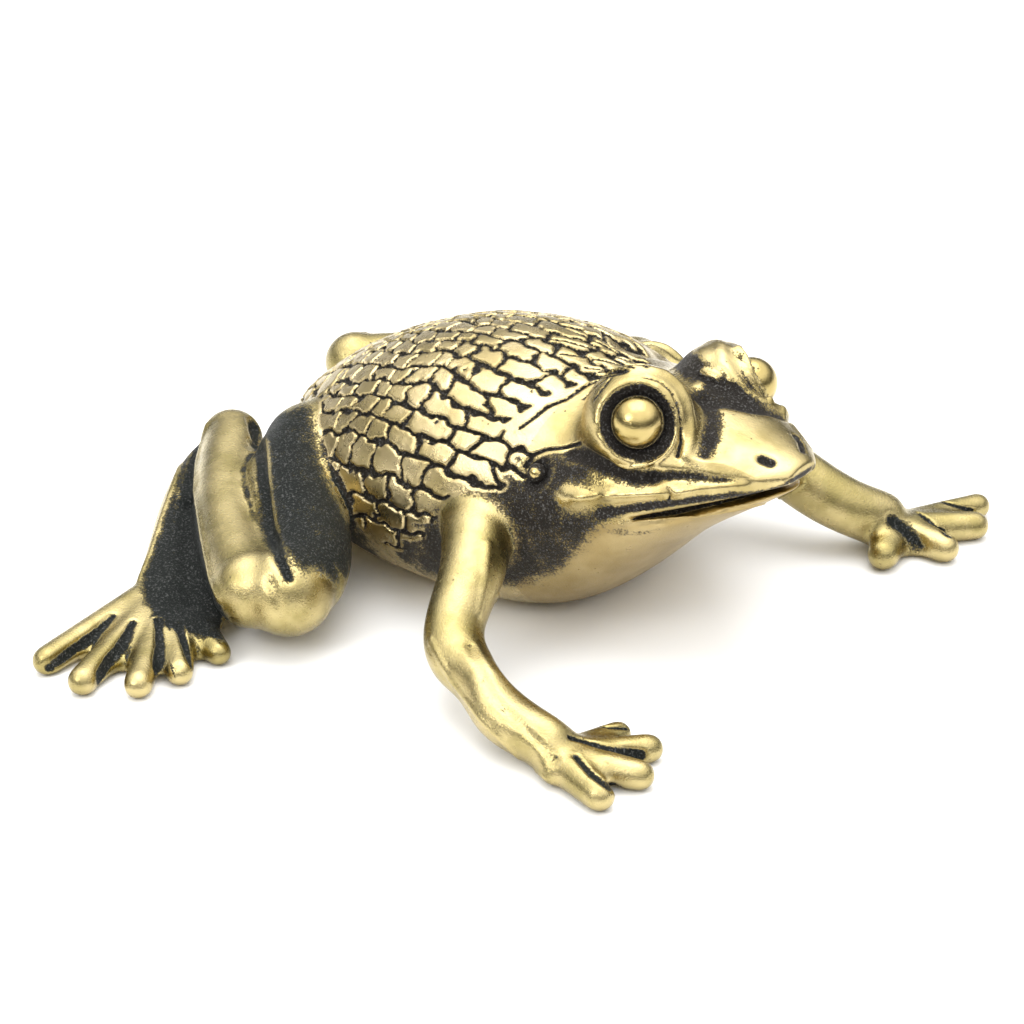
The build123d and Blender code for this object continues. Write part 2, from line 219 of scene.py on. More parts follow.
def polygon_depth(points: np.ndarray, outline: tuple[Pixel, ...]) -> np.ndarray:
    """Distance inside an outline.

    Args:
        points: Pixels, one row each.
        outline: Corners of a closed outline.

    Returns:
        Distance to the outline in pixels, negative outside it.
    """
    nearest = np.full(len(points), np.inf)
    inside = np.zeros(len(points), bool)
    for start, end in zip(outline, outline[1:] + outline[:1]):
        a, b = np.array(start), np.array(end)
        along = b - a
        share = np.clip(((points - a) @ along) / (along @ along), 0.0, 1.0)
        gap = points - (a + share[:, None] * along)
        nearest = np.minimum(nearest, np.hypot(gap[:, 0], gap[:, 1]))
        if a[1] != b[1]:
            crosses = (a[1] > points[:, 1]) != (b[1] > points[:, 1])
            reach = a[0] + (points[:, 1] - a[1]) * along[0] / along[1]
            inside ^= crosses & (points[:, 0] < reach)
    return np.where(inside, nearest, -nearest)


class Profile(Enum):
    """The shape across a carving stroke."""

    ROUND = "round"
    FLAT = "flat"

    def height(self, share: np.ndarray) -> np.ndarray:
        """Height of the profile.

        Args:
            share: Distance from the stroke's line in half widths.

        Returns:
            Height from 0 to 1.
        """
        share = np.clip(share, 0.0, 1.0)
        if self is Profile.FLAT:
            return 1.0 - smooth_step(share, FLAT_SHARE, 1.0)
        return 0.5 + 0.5 * np.cos(math.pi * share)


class Twin(Enum):
    """Where a stroke is repeated on the figure's other side."""

    NONE = "none"
    BODY = "body"
    HEAD = "head"
    EYE = "eye"


@dataclass(frozen=True)
class Mirror:
    """The middle planes of body and head. Lengths are in millimetres, the turn in degrees."""

    body_middle: float = 3.6
    neck: float = 7.80
    head_turn: float = 4.5
    eye_drop: float = 1.7

    def reflect(self, points: np.ndarray, twin: Twin) -> np.ndarray:
        """Places on the other side.

        Args:
            points: Places in millimetres, one row each.
            twin: Which middle plane to use.

        Returns:
            The reflected places. Eye features land on the eye of the other side from either one.
        """
        moved = points.copy()
        if twin is Twin.BODY:
            moved[:, 1] = 2 * self.body_middle - moved[:, 1]
            return moved
        turn = math.radians(self.head_turn)
        left = np.array([math.sin(turn), math.cos(turn), 0.0])
        side = (points - np.array([self.neck, self.body_middle, 0.0])) @ left
        moved -= 2 * side[:, None] * left
        if twin is Twin.EYE:
            moved[:, 2] += np.sign(side) * self.eye_drop
        return moved


@dataclass(frozen=True)
class Stroke:
    """One stroke of a carving tool, laid over the figure as the photograph shows it.

    The path is in pixels. Half widths and lifts are in millimetres at its start and end, and a
    negative lift cuts. The stain darkens, or rubs bright where it is negative. On most strokes
    that is patina and wear; a few use it for painted highlights, painted shade and painted dark
    reflections.
    """

    path: tuple[Pixel, ...]
    half_width: tuple[float, float]
    lift: tuple[float, float] = (0.0, 0.0)
    stain: float = 0.0
    profile: Profile = Profile.ROUND
    twin: Twin = Twin.NONE


@dataclass(frozen=True)
class Stain:
    """A dark region with a ragged edge, outlined in pixels as the photograph shows it."""

    outline: tuple[Pixel, ...]
    amount: float
    softness: float
    nodes: tuple[str, ...]
    twin: Twin = Twin.NONE


class Skin:
    """The figure's surface, held as arrays in millimetres while it is carved."""

    move_share: float = 0.5
    even_share: float = 0.6
    normals_every: int = 4

    def __init__(self, mesh: bpy.types.Mesh) -> None:
        """Takes over a mesh.

        Args:
            mesh: A closed mesh of quads in millimetres.
        """
        self.mesh = mesh
        self.stain = np.zeros(len(mesh.vertices))
        self.read()

    def read(self) -> None:
        """Reads places, edges and faces from the mesh."""
        count = len(self.mesh.vertices)
        places = np.empty(count * 3, np.float32)
        self.mesh.vertices.foreach_get("co", places)
        self.places = places.reshape(-1, 3).astype(float)
        edges = np.empty(len(self.mesh.edges) * 2, np.int32)
        self.mesh.edges.foreach_get("vertices", edges)
        self.edges = edges.reshape(-1, 2)
        corners = np.empty(len(self.mesh.loops), np.int32)
        self.mesh.loops.foreach_get("vertex_index", corners)
        self.quads = corners.reshape(-1, 4)
        self.degree = np.bincount(self.edges.ravel(), minlength=count).astype(float)
        self.normals = self.find_normals()

    def write(self) -> None:
        """Writes the carved places back to the mesh."""
        self.mesh.vertices.foreach_set("co", self.places.astype(np.float32).ravel())
        self.mesh.update()

    def find_normals(self) -> np.ndarray:
        """The outward direction at each vertex.

        Returns:
            Unit vectors, one row each.
        """
        corners = self.places[self.quads]
        across = np.cross(corners[:, 2] - corners[:, 0], corners[:, 3] - corners[:, 1])
        normals = np.empty_like(self.places)
        for axis in range(3):
            weight = np.repeat(across[:, axis], 4)
            normals[:, axis] = np.bincount(self.quads.ravel(), weight, len(self.places))
        return normals / np.maximum(np.linalg.norm(normals, axis=1), 1e-12)[:, None]

    def mean(self, values: np.ndarray) -> np.ndarray:
        """The mean of each vertex's neighbours.

        Args:
            values: One value or row for each vertex.

        Returns:
            The means, in the same shape.
        """
        flat = values.reshape(len(values), -1)
        start, end = self.edges[:, 0], self.edges[:, 1]
        total = np.empty_like(flat)
        for column in range(flat.shape[1]):
            one = flat[:, column]
            total[:, column] = np.bincount(start, one[end], len(one))
            total[:, column] += np.bincount(end, one[start], len(one))
        return (total / self.degree[:, None]).reshape(values.shape)

    def smooth(self, rounds: int) -> None:
        """Evens the surface.

        Args:
            rounds: How often each vertex moves towards its neighbours.
        """
        for _ in range(rounds):
            self.places += self.move_share * (self.mean(self.places) - self.places)
        self.normals = self.find_normals()

    def fill_creases(self, rounds: int) -> None:
        """Rounds inner corners as wax flows into them, and leaves outer forms alone.

        Args:
            rounds: How often the creases are filled.
        """
        for step in range(rounds):
            if step % self.normals_every == 0:
                self.normals = self.find_normals()
            move = self.mean(self.places) - self.places
            outward = (move * self.normals).sum(axis=1)
            slide = move - outward[:, None] * self.normals
            self.places += self.move_share * (np.maximum(outward, 0.0)[:, None] * self.normals + slide)
        self.normals = self.find_normals()

    def hollowness(self, rounds: int) -> np.ndarray:
        """How deep each vertex lies under a smoothed surface.

        Args:
            rounds: How often that surface is smoothed.

        Returns:
            Depths in millimetres, negative where a vertex stands proud.
        """
        even = self.places
        for _ in range(rounds):
            even = even + self.even_share * (self.mean(even) - even)
        return ((even - self.places) * self.normals).sum(axis=1)

    def tree(self) -> BVHTree:
        """A search tree of the surface."""
        return BVHTree.FromPolygons(self.places.tolist(), self.quads.tolist())

    def press(self, lift: np.ndarray) -> None:
        """Moves the surface along its normals and keeps it above the ground.

        Args:
            lift: Distance for each vertex in millimetres, negative inwards.
        """
        self.places += self.normals * lift[:, None]
        self.places[:, 2] = np.maximum(self.places[:, 2], 0.0)
        self.normals = self.find_normals()

    def darken(self, amount: np.ndarray) -> None:
        """Raises the stain to an amount where that is more than there is."""
        self.stain = np.maximum(self.stain, amount)

    def soften_stain(self, rounds: int) -> None:
        """Lets the stain run a little into its surroundings."""
        for _ in range(rounds):
            self.stain = self.mean(self.stain)


class Carver:
    """Lays strokes on the skin through the photograph's camera. The reach is in millimetres."""

    step_pixels: float = 0.9
    reach: float = 1.2
    normal_rounds: int = 3
    chunk_size: int = 6000
    out_of_reach: float = 9.0
    stain_gain: float = 1.6

    def __init__(self, skin: Skin, camera: PhotoCamera, mirror: Mirror) -> None:
        """Keeps the skin and builds its search tree.

        Args:
            skin: The figure's surface.
            camera: The photograph's camera.
            mirror: The figure's middle planes.
        """
        self.skin = skin
        self.camera = camera
        self.mirror = mirror
        self.renew()

    def renew(self) -> None:
        """Reads the skin's present shape again."""
        self.tree = self.skin.tree()

    def samples(self, path: tuple[Pixel, ...]) -> tuple[np.ndarray, np.ndarray, np.ndarray]:
        """Points of a path on the skin.

        Args:
            path: Pixels of the path.

        Returns:
            Places, normals and shares of the path's length, one row for each point.
        """
        corners = np.array(path, float)
        lengths = np.hypot(*np.diff(corners, axis=0).T)
        ends = np.concatenate([[0.0], np.cumsum(lengths)])
        count = max(2, int(ends[-1] / self.step_pixels) + 1)
        marks = np.linspace(0.0, ends[-1], count)
        xs = np.interp(marks, ends, corners[:, 0])
        ys = np.interp(marks, ends, corners[:, 1])
        origin = Vector(self.camera.place())
        places, normals, shares = [], [], []
        for x, y, mark in zip(xs, ys, marks):
            direction = Vector(self.camera.ray((x, y))).normalized()
            hit, normal, _, _ = self.tree.ray_cast(origin, direction)
            if hit is not None:
                places.append(hit)
                normals.append(normal)
                shares.append(mark / max(ends[-1], 1e-9))
        rows = (-1, 3)
        return np.array(places).reshape(rows), np.array(normals).reshape(rows), np.array(shares)

    def snapped(self, places: np.ndarray) -> tuple[np.ndarray, np.ndarray]:
        """The nearest places on the skin.

        Args:
            places: Places in millimetres, one row each.

        Returns:
            The places found and the skin's normals there.
        """
        found = [self.tree.find_nearest(Vector(place)) for place in places]
        return np.array([hit[0] for hit in found]), np.array([hit[1] for hit in found])

    def lay(self, stroke: Stroke, lift: bool = True) -> None:
        """Carves one stroke, and its twin on the other side.

        Args:
            stroke: The stroke.
            lift: Whether it moves the skin or only stains it.
        """
        places, normals, shares = self.samples(stroke.path)
        if len(places) < 2:
            return
        self.apply(stroke, places, normals, shares, lift)
        if stroke.twin is not Twin.NONE:
            places, normals = self.snapped(self.mirror.reflect(places, stroke.twin))
            self.apply(stroke, places, normals, shares, lift)

    def apply(self, stroke: Stroke, places: np.ndarray, normals: np.ndarray, shares: np.ndarray,
              lift: bool) -> None:
        """Moves and stains the vertices near a row of points.

        Args:
            stroke: The stroke's widths, lifts and stain.
            places: Points of its line.
            normals: The skin's directions there.
            shares: How far along the stroke each point is.
            lift: Whether the vertices move.
        """
        for _ in range(self.normal_rounds):
            normals[1:-1] = (normals[:-2] + 2 * normals[1:-1] + normals[2:]) / 4
        normals /= np.maximum(np.linalg.norm(normals, axis=1), 1e-9)[:, None]
        widths = stroke.half_width[0] + (stroke.half_width[1] - stroke.half_width[0]) * shares
        lifts = (stroke.lift[0] + (stroke.lift[1] - stroke.lift[0]) * shares) * lift
        room = widths.max() + self.reach
        low, high = places.min(axis=0) - room, places.max(axis=0) + room
        near = np.nonzero(((self.skin.places > low) & (self.skin.places < high)).all(axis=1))[0]
        for chunk in np.array_split(near, max(1, len(near) // self.chunk_size)):
            gap = self.skin.places[chunk][:, None] - places[None]
            depth = (gap * normals[None]).sum(axis=2)
            across = np.sqrt(np.maximum((gap ** 2).sum(axis=2) - depth ** 2, 0.0))
            share = across / widths[None] + np.where(np.abs(depth) > room, self.out_of_reach, 0.0)
            best = share.argmin(axis=1)
            share = share[np.arange(len(chunk)), best]
            same_side = (self.skin.normals[chunk] * normals[best]).sum(axis=1) > 0.0
            height = stroke.profile.height(share) * ((share < 1.0) & same_side)
            self.skin.places[chunk] += normals[best] * (height * lifts[best])[:, None]
            stained = np.minimum(1.0, height * self.stain_gain) * stroke.stain
            if stroke.stain > 0:
                self.skin.stain[chunk] = np.maximum(self.skin.stain[chunk], stained)
            else:
                self.skin.stain[chunk] *= 1.0 + stained
        self.skin.places[:, 2] = np.maximum(self.skin.places[:, 2], 0.0)


@dataclass(frozen=True)
class BackCarving:
    """The plates of the back, with the grooves between them. Lengths are in millimetres.

    The plates lie in sectors that run over the back from the rump's end to the neck, where they
    close up into a fan. There are half as many sectors up to the narrow lean, which is an angle in
    radians from the rump's end. Noise of the given grains sways and wobbles the grooves and makes
    their edges ragged. The plates fade out near the seams with the legs. Only the outline of the
    carved region and its softness are in pixels.
    """

    groove_depth: float = 0.33
    groove_width: float = 0.32
    edge: float = 0.10
    dome: float = 0.05
    dome_width: float = 0.4
    step: float = 0.05
    rounding: float = 0.45
    middle: Triple = (-8.0, 3.6, 8.0)
    radius: float = 15.5
    sectors: int = 44
    narrow_lean: float = 0.80
    plate_length: float = 2.9
    stagger_share: float = 0.618
    level_turns: tuple[float, float] = (12.9, 7.8)
    wobble: float = 0.42
    wobble_grain: float = 0.8
    wobble_seeds: tuple[int, ...] = (5, 6, 7)
    sway: float = 0.9
    around_grain: float = 5.0
    around_seed: int = 11
    along_grain: float = 3.5
    along_seed: int = 12
    ragged: float = 0.14
    ragged_grain: float = 0.45
    ragged_seed: int = 9
    dark_edge: tuple[float, float] = (-0.06, 0.16)
    tone: float = 0.03
    level_tone: float = 0.07
    seam_rounds: int = 24
    seam_shares: tuple[float, float] = (0.60, 0.97)
    least_facing: float = 0.10
    flank_bottom: tuple[float, float] = (6.0, 8.0)
    neck_start: float = 4.0
    outline_softness: float = 3.0
    outline: tuple[Pixel, ...] = (
        (262, 440), (262, 290), (420, 270), (560, 280), (640, 330), (648, 366), (607, 376),
        (557, 389), (520, 412), (500, 425), (510, 440), (531, 436), (531, 475), (512, 480),
        (500, 490), (460, 485), (450, 500), (425, 530), (420, 545), (392, 550), (360, 525),
        (345, 510), (327, 490), (317, 460), (300, 452),
    )

    def plate_field(self, points: np.ndarray) -> tuple[np.ndarray, np.ndarray]:
        """Distance inside the nearest plate.

        Args:
            points: Places of the vertices.

        Returns:
            Distance to the plate's edge, negative in the grooves, and the plate's own level from
            -1 to 1.
        """
        noises = [lattice_noise(points, self.wobble_grain, seed) for seed in self.wobble_seeds]
        wobble = np.stack(noises, axis=1) - 0.5
        away = points + wobble * 2 * self.wobble - np.array(self.middle)
        away /= np.linalg.norm(away, axis=1)[:, None]
        lean = np.arccos(np.clip(-away[:, 0], -1.0, 1.0))
        turn = np.arctan2(away[:, 1], away[:, 2]) / (2 * math.pi) + 0.5
        count = np.where(lean < self.narrow_lean, self.sectors / 2, self.sectors)
        drift = lattice_noise(points, self.around_grain, self.around_seed) - 0.5
        around = turn * count + drift * self.sway
        sector = np.floor(around)
        drift = lattice_noise(points, self.along_grain, self.along_seed) - 0.5
        along = lean * self.radius / self.plate_length + (sector * self.stagger_share) % 1.0
        along += drift * self.sway
        row = np.floor(along)
        width = 2 * math.pi * self.radius * np.sin(lean) / count
        to_side = (0.5 - np.abs(around - sector - 0.5)) * width
        to_end = (0.5 - np.abs(along - row - 0.5)) * self.plate_length
        beyond_side = np.maximum(self.rounding - to_side, 0.0)
        beyond_end = np.maximum(self.rounding - to_end, 0.0)
        corner = np.hypot(beyond_side, beyond_end)
        level = np.sin(self.level_turns[0] * sector + self.level_turns[1] * row)
        return self.rounding - corner - self.groove_width / 2, level

    def carve(self, skin: Skin, camera: PhotoCamera, mirror: Mirror, plated: np.ndarray) -> None:
        """Cuts the grooves and stains them.

        Args:
            skin: The figure's surface.
            camera: The photograph's camera.
            mirror: The figure's middle planes.
            plated: Which vertices belong to the solids that may have plates.
        """
        chosen = np.nonzero(plated)[0]
        points, normals = skin.places[chosen], skin.normals[chosen]
        share = plated.astype(float)
        for _ in range(self.seam_rounds):
            share = skin.mean(share)
        from_seam = smooth_step(share[chosen], *self.seam_shares)
        seen = camera.facing(points, normals)
        twin_points = mirror.reflect(points, Twin.BODY)
        twin_seen = camera.facing(twin_points, normals * OTHER_SIDE)
        direct = seen > self.least_facing
        pixels = camera.project(np.where(direct[:, None], points, twin_points))
        inside = polygon_depth(pixels, self.outline)
        region = smooth_step(inside, -self.outline_softness, self.outline_softness)
        hidden = ~direct & (twin_seen <= self.least_facing)
        above_flank = smooth_step(points[hidden, 2], *self.flank_bottom)
        region[hidden] = above_flank * (points[hidden, 0] < self.neck_start)
        region *= from_seam
        depth, level = self.plate_field(points)
        depth += (lattice_noise(points, self.ragged_grain, self.ragged_seed) - 0.5) * self.ragged
        raised = smooth_step(depth, -self.edge, self.edge)
        crown = smooth_step(depth, 0.0, self.dome_width) * (self.dome + self.step * level)
        lift = np.zeros(len(skin.places))
        lift[chosen] = ((raised - 1.0) * self.groove_depth + crown) * region
        skin.press(lift)
        dark = np.zeros(len(skin.places))
        dark[chosen] = (1.0 - smooth_step(depth, *self.dark_edge)) * region
        skin.darken(dark)
        tone = np.zeros(len(skin.places))
        tone[chosen] = (self.tone + self.level_tone * level) * region
        skin.stain += tone


@dataclass(frozen=True)
class EyeCarving:
    """The ring groove of an eye. Lengths are in millimetres."""

    mound: Triple
    outward: Triple
    reach: float = 5.6
    ring_radius: float = 3.45
    soft_edge: float = 0.15

    def stain(self, skin: Skin) -> None:
        """Darkens the groove round the eyeball.

        Args:
            skin: The figure's surface.
        """
        gap = skin.places - np.array(self.mound)
        outward = np.array(self.outward)
        height = gap @ outward
        across = np.linalg.norm(gap - height[:, None] * outward, axis=1)
        inside = smooth_step(self.ring_radius - across, 0.0, self.soft_edge) * (height > 0)
        skin.darken(inside * (np.linalg.norm(gap, axis=1) < self.reach))


@dataclass(frozen=True)
class Finish:
    """Colours of one finish, in linear light, with its roughness.

    The brass runs from bright to deep in clouds, and dark is the patina's colour. Grain and pits
    say how strongly these show. The bump depth is in metres.
    """

    slot: str
    bright: Triple
    deep: Triple
    dark: Triple
    rough: float
    dark_rough: float
    grain: float
    pits: float
    bump_depth: float = 0.0001

    def build(self, effects: "Effects") -> bpy.types.Material:
        """Makes the material.

        Args:
            effects: The shared node groups.

        Returns:
            The material, with the Principled shader in it.
        """
        material = bpy.data.materials.new(self.slot)
        material.use_nodes = True
        tree = material.node_tree
        tree.nodes.clear()
        link = tree.links.new
        output = tree.nodes.new("ShaderNodeOutputMaterial")
        shader = tree.nodes.new("ShaderNodeBsdfPrincipled")
        link(shader.outputs["BSDF"], output.inputs["Surface"])
        coordinates = tree.nodes.new("ShaderNodeTexCoord")
        stain = tree.nodes.new("ShaderNodeAttribute")
        stain.attribute_name = "stain"
        patina = tree.nodes.new("ShaderNodeGroup")
        patina.node_tree = effects.patina
        link(coordinates.outputs["Object"], patina.inputs["Vector"])
        link(stain.outputs["Fac"], patina.inputs["Stain"])
        for name, colour in (("Bright", self.bright), ("Deep", self.deep), ("Dark", self.dark)):
            patina.inputs[name].default_value = (*colour, 1.0)
        for name, value in (("Rough", self.rough), ("Dark Rough", self.dark_rough),
                            ("Grain", self.grain), ("Pits", self.pits)):
            patina.inputs[name].default_value = value
        link(patina.outputs["Color"], shader.inputs["Base Color"])
        link(patina.outputs["Roughness"], shader.inputs["Roughness"])
        link(patina.outputs["Metallic"], shader.inputs["Metallic"])
        bump = tree.nodes.new("ShaderNodeBump")
        bump.inputs["Distance"].default_value = self.bump_depth
        bump.inputs["Strength"].default_value = 1.0
        link(patina.outputs["Height"], bump.inputs["Height"])
        link(bump.outputs["Normal"], shader.inputs["Normal"])
        return material


@dataclass(frozen=True)
class Noise:
    """One noise pattern, with its scale in lumps per metre."""

    scale: float
    detail: float
    roughness: float


class Blend(Enum):
    """What a Mix node blends, with its input and output sockets' places."""

    NUMBERS = ("FLOAT", "MIX", 2, 3, 0)
    COLOURS = ("RGBA", "MIX", 6, 7, 2)
    ADDED_COLOURS = ("RGBA", "ADD", 6, 7, 2)


class Wiring:
    """Adds nodes to one node group and links them."""

    def __init__(self, group: bpy.types.NodeTree) -> None:
        """Keeps the group's nodes and links."""
        self.nodes = group.nodes
        self.link = group.links.new

    def feed(self, socket: bpy.types.NodeSocket, value: object) -> None:
        """Links an input socket, or sets its own value.

        Args:
            socket: The input socket.
            value: An output socket, a number or a colour.
        """
        if isinstance(value, bpy.types.NodeSocket):
            self.link(value, socket)
        else:
            socket.default_value = value

    def noise(self, pattern: Noise, vector: bpy.types.NodeSocket) -> bpy.types.NodeSocket:
        """Adds a noise texture.

        Args:
            pattern: Its scale, detail and roughness.
            vector: The coordinates that it reads.

        Returns:
            The noise's value.
        """
        node = self.nodes.new("ShaderNodeTexNoise")
        node.inputs["Scale"].default_value = pattern.scale
        node.inputs["Detail"].default_value = pattern.detail
        node.inputs["Roughness"].default_value = pattern.roughness
        self.link(vector, node.inputs["Vector"])
        return node.outputs["Fac"]

    def combine(self, kind: str, first: object, second: object) -> bpy.types.NodeSocket:
        """Adds a Math node.

        Args:
            kind: Its operation.
            first: A socket or number.
            second: A socket or number.

        Returns:
            The result.
        """
        node = self.nodes.new("ShaderNodeMath")
        node.operation = kind
        self.feed(node.inputs[0], first)
        self.feed(node.inputs[1], second)
        return node.outputs["Value"]

    def times(self, first: object, second: object) -> bpy.types.NodeSocket:
        """The product of two sockets or numbers."""
        return self.combine("MULTIPLY", first, second)

    def plus(self, first: object, second: object) -> bpy.types.NodeSocket:
        """The sum of two sockets or numbers."""
        return self.combine("ADD", first, second)

    def centred(self, value: bpy.types.NodeSocket, amount: float) -> bpy.types.NodeSocket:
        """A noise that swings round zero, times an amount."""
        return self.times(self.combine("SUBTRACT", value, 0.5), amount)

    def ramp(self, value: bpy.types.NodeSocket, edge: tuple[float, float], start: float = 0.0,
             end: float = 1.0) -> bpy.types.NodeSocket:
        """Adds a smooth Map Range node.

        Args:
            value: What it reads.
            edge: Values at which the ramp starts and ends.
            start: Its result up to the first of them.
            end: Its result from the second on.

        Returns:
            The result.
        """
        node = self.nodes.new("ShaderNodeMapRange")
        node.interpolation_type = "SMOOTHSTEP"
        self.link(value, node.inputs["Value"])
        node.inputs["From Min"].default_value = edge[0]
        node.inputs["From Max"].default_value = edge[1]
        node.inputs["To Min"].default_value = start
        node.inputs["To Max"].default_value = end
        return node.outputs["Result"]

    def mix(self, blend: Blend, factor: bpy.types.NodeSocket, first: object,
            second: object) -> bpy.types.NodeSocket:
        """Adds a Mix node.

        Args:
            blend: What it blends.
            factor: How much of the second there is, from 0 to 1.
            first: A socket, number or colour.
            second: A socket, number or colour.

        Returns:
            The blend.
        """
        data_type, blend_type, first_place, second_place, result_place = blend.value
        node = self.nodes.new("ShaderNodeMix")
        node.data_type = data_type
        node.blend_type = blend_type
        self.link(factor, node.inputs["Factor"])
        self.feed(node.inputs[first_place], first)
        self.feed(node.inputs[second_place], second)
        return node.outputs[result_place]


class Effects:
    """The node groups that the finishes share.

    An edge is where a ramp starts and where it is full. Scales are in lumps per metre.
    """

    coarse: Noise = Noise(900.0, 3.0, 0.6)
    speck: Noise = Noise(5200.0, 3.0, 0.65)
    fine: Noise = Noise(16000.0, 2.0, 0.6)
    mottle: Noise = Noise(420.0, 4.0, 0.62)
    clouds: Noise = Noise(220.0, 3.0, 0.55)
    speck_in_edge: float = 1.15
    coarse_in_edge: float = 0.45
    mottle_in_edge: float = 0.80
    patina_edge: tuple[float, float] = (0.30, 0.66)
    pit_scale: float = 1300.0
    pit_edge: tuple[float, float] = (0.06, 0.13)
    pit_places: tuple[float, float] = (0.5, 0.62)
    pit_darkness: float = 0.85
    cloud_edge: tuple[float, float] = (0.36, 0.66)
    glint_edge: tuple[float, float] = (0.53, 0.68)
    glint_colour: Triple = (0.14, 0.14, 0.135)
    wear_in_rough: float = 0.22
    dark_metallic: float = 0.72
    fine_height: float = 0.35
    dark_height: float = 3.4
    dark_sink: float = -0.5

    def __init__(self) -> None:
        """Builds the groups once."""
        self.patina = self.build_patina()

    def build_patina(self) -> bpy.types.NodeTree:
        """The group for rubbed brass with dark patina.

        Returns:
            A group that puts out colour, roughness, metallic and height.
        """
        group = bpy.data.node_groups.new("rubbed_patina", "ShaderNodeTree")
        inputs = {"Vector": "Vector", "Stain": "Float", "Bright": "Color", "Deep": "Color",
                  "Dark": "Color", "Rough": "Float", "Dark Rough": "Float", "Grain": "Float",
                  "Pits": "Float"}
        outputs = {"Color": "Color", "Roughness": "Float", "Metallic": "Float", "Height": "Float"}
        for direction, sockets in (("INPUT", inputs), ("OUTPUT", outputs)):
            for name, kind in sockets.items():
                group.interface.new_socket(name, in_out=direction, socket_type="NodeSocket" + kind)
        wiring = Wiring(group)
        link, ramp, times, plus = wiring.link, wiring.ramp, wiring.times, wiring.plus
        centred, mix = wiring.centred, wiring.mix
        source = group.nodes.new("NodeGroupInput").outputs
        result = group.nodes.new("NodeGroupOutput").inputs
        vector = source["Vector"]
        coarse = wiring.noise(self.coarse, vector)
        speck = wiring.noise(self.speck, vector)
        fine = wiring.noise(self.fine, vector)
        ragged = plus(centred(speck, self.speck_in_edge), centred(coarse, self.coarse_in_edge))
        mottle = centred(wiring.noise(self.mottle, vector), self.mottle_in_edge)
        mask = ramp(plus(plus(source["Stain"], ragged), mottle), self.patina_edge)
        pit = group.nodes.new("ShaderNodeTexVoronoi")
        pit.inputs["Scale"].default_value = self.pit_scale
        link(vector, pit.inputs["Vector"])
        pitted = times(ramp(pit.outputs["Distance"], self.pit_edge, 1.0, 0.0), source["Pits"])
        pitted = times(pitted, ramp(coarse, self.pit_places))
        mask = wiring.combine("MAXIMUM", mask, times(pitted, self.pit_darkness))
        clouds = ramp(wiring.noise(self.clouds, vector), self.cloud_edge)
        brass = mix(Blend.COLOURS, clouds, source["Bright"], source["Deep"])
        glint = ramp(speck, self.glint_edge)
        dark = mix(Blend.ADDED_COLOURS, glint, source["Dark"], (*self.glint_colour, 1.0))
        link(mix(Blend.COLOURS, mask, brass, dark), result["Color"])
        worn = plus(source["Rough"], centred(coarse, self.wear_in_rough))
        link(mix(Blend.NUMBERS, mask, worn, source["Dark Rough"]), result["Roughness"])
        link(mix(Blend.NUMBERS, mask, 1.0, self.dark_metallic), result["Metallic"])
        relief = times(plus(times(fine, self.fine_height), speck), source["Grain"])
        rough_dark = times(times(mask, speck), self.dark_height)
        sunk = times(mask, self.dark_sink)
        link(plus(plus(relief, rough_dark), sunk), result["Height"])
        return group


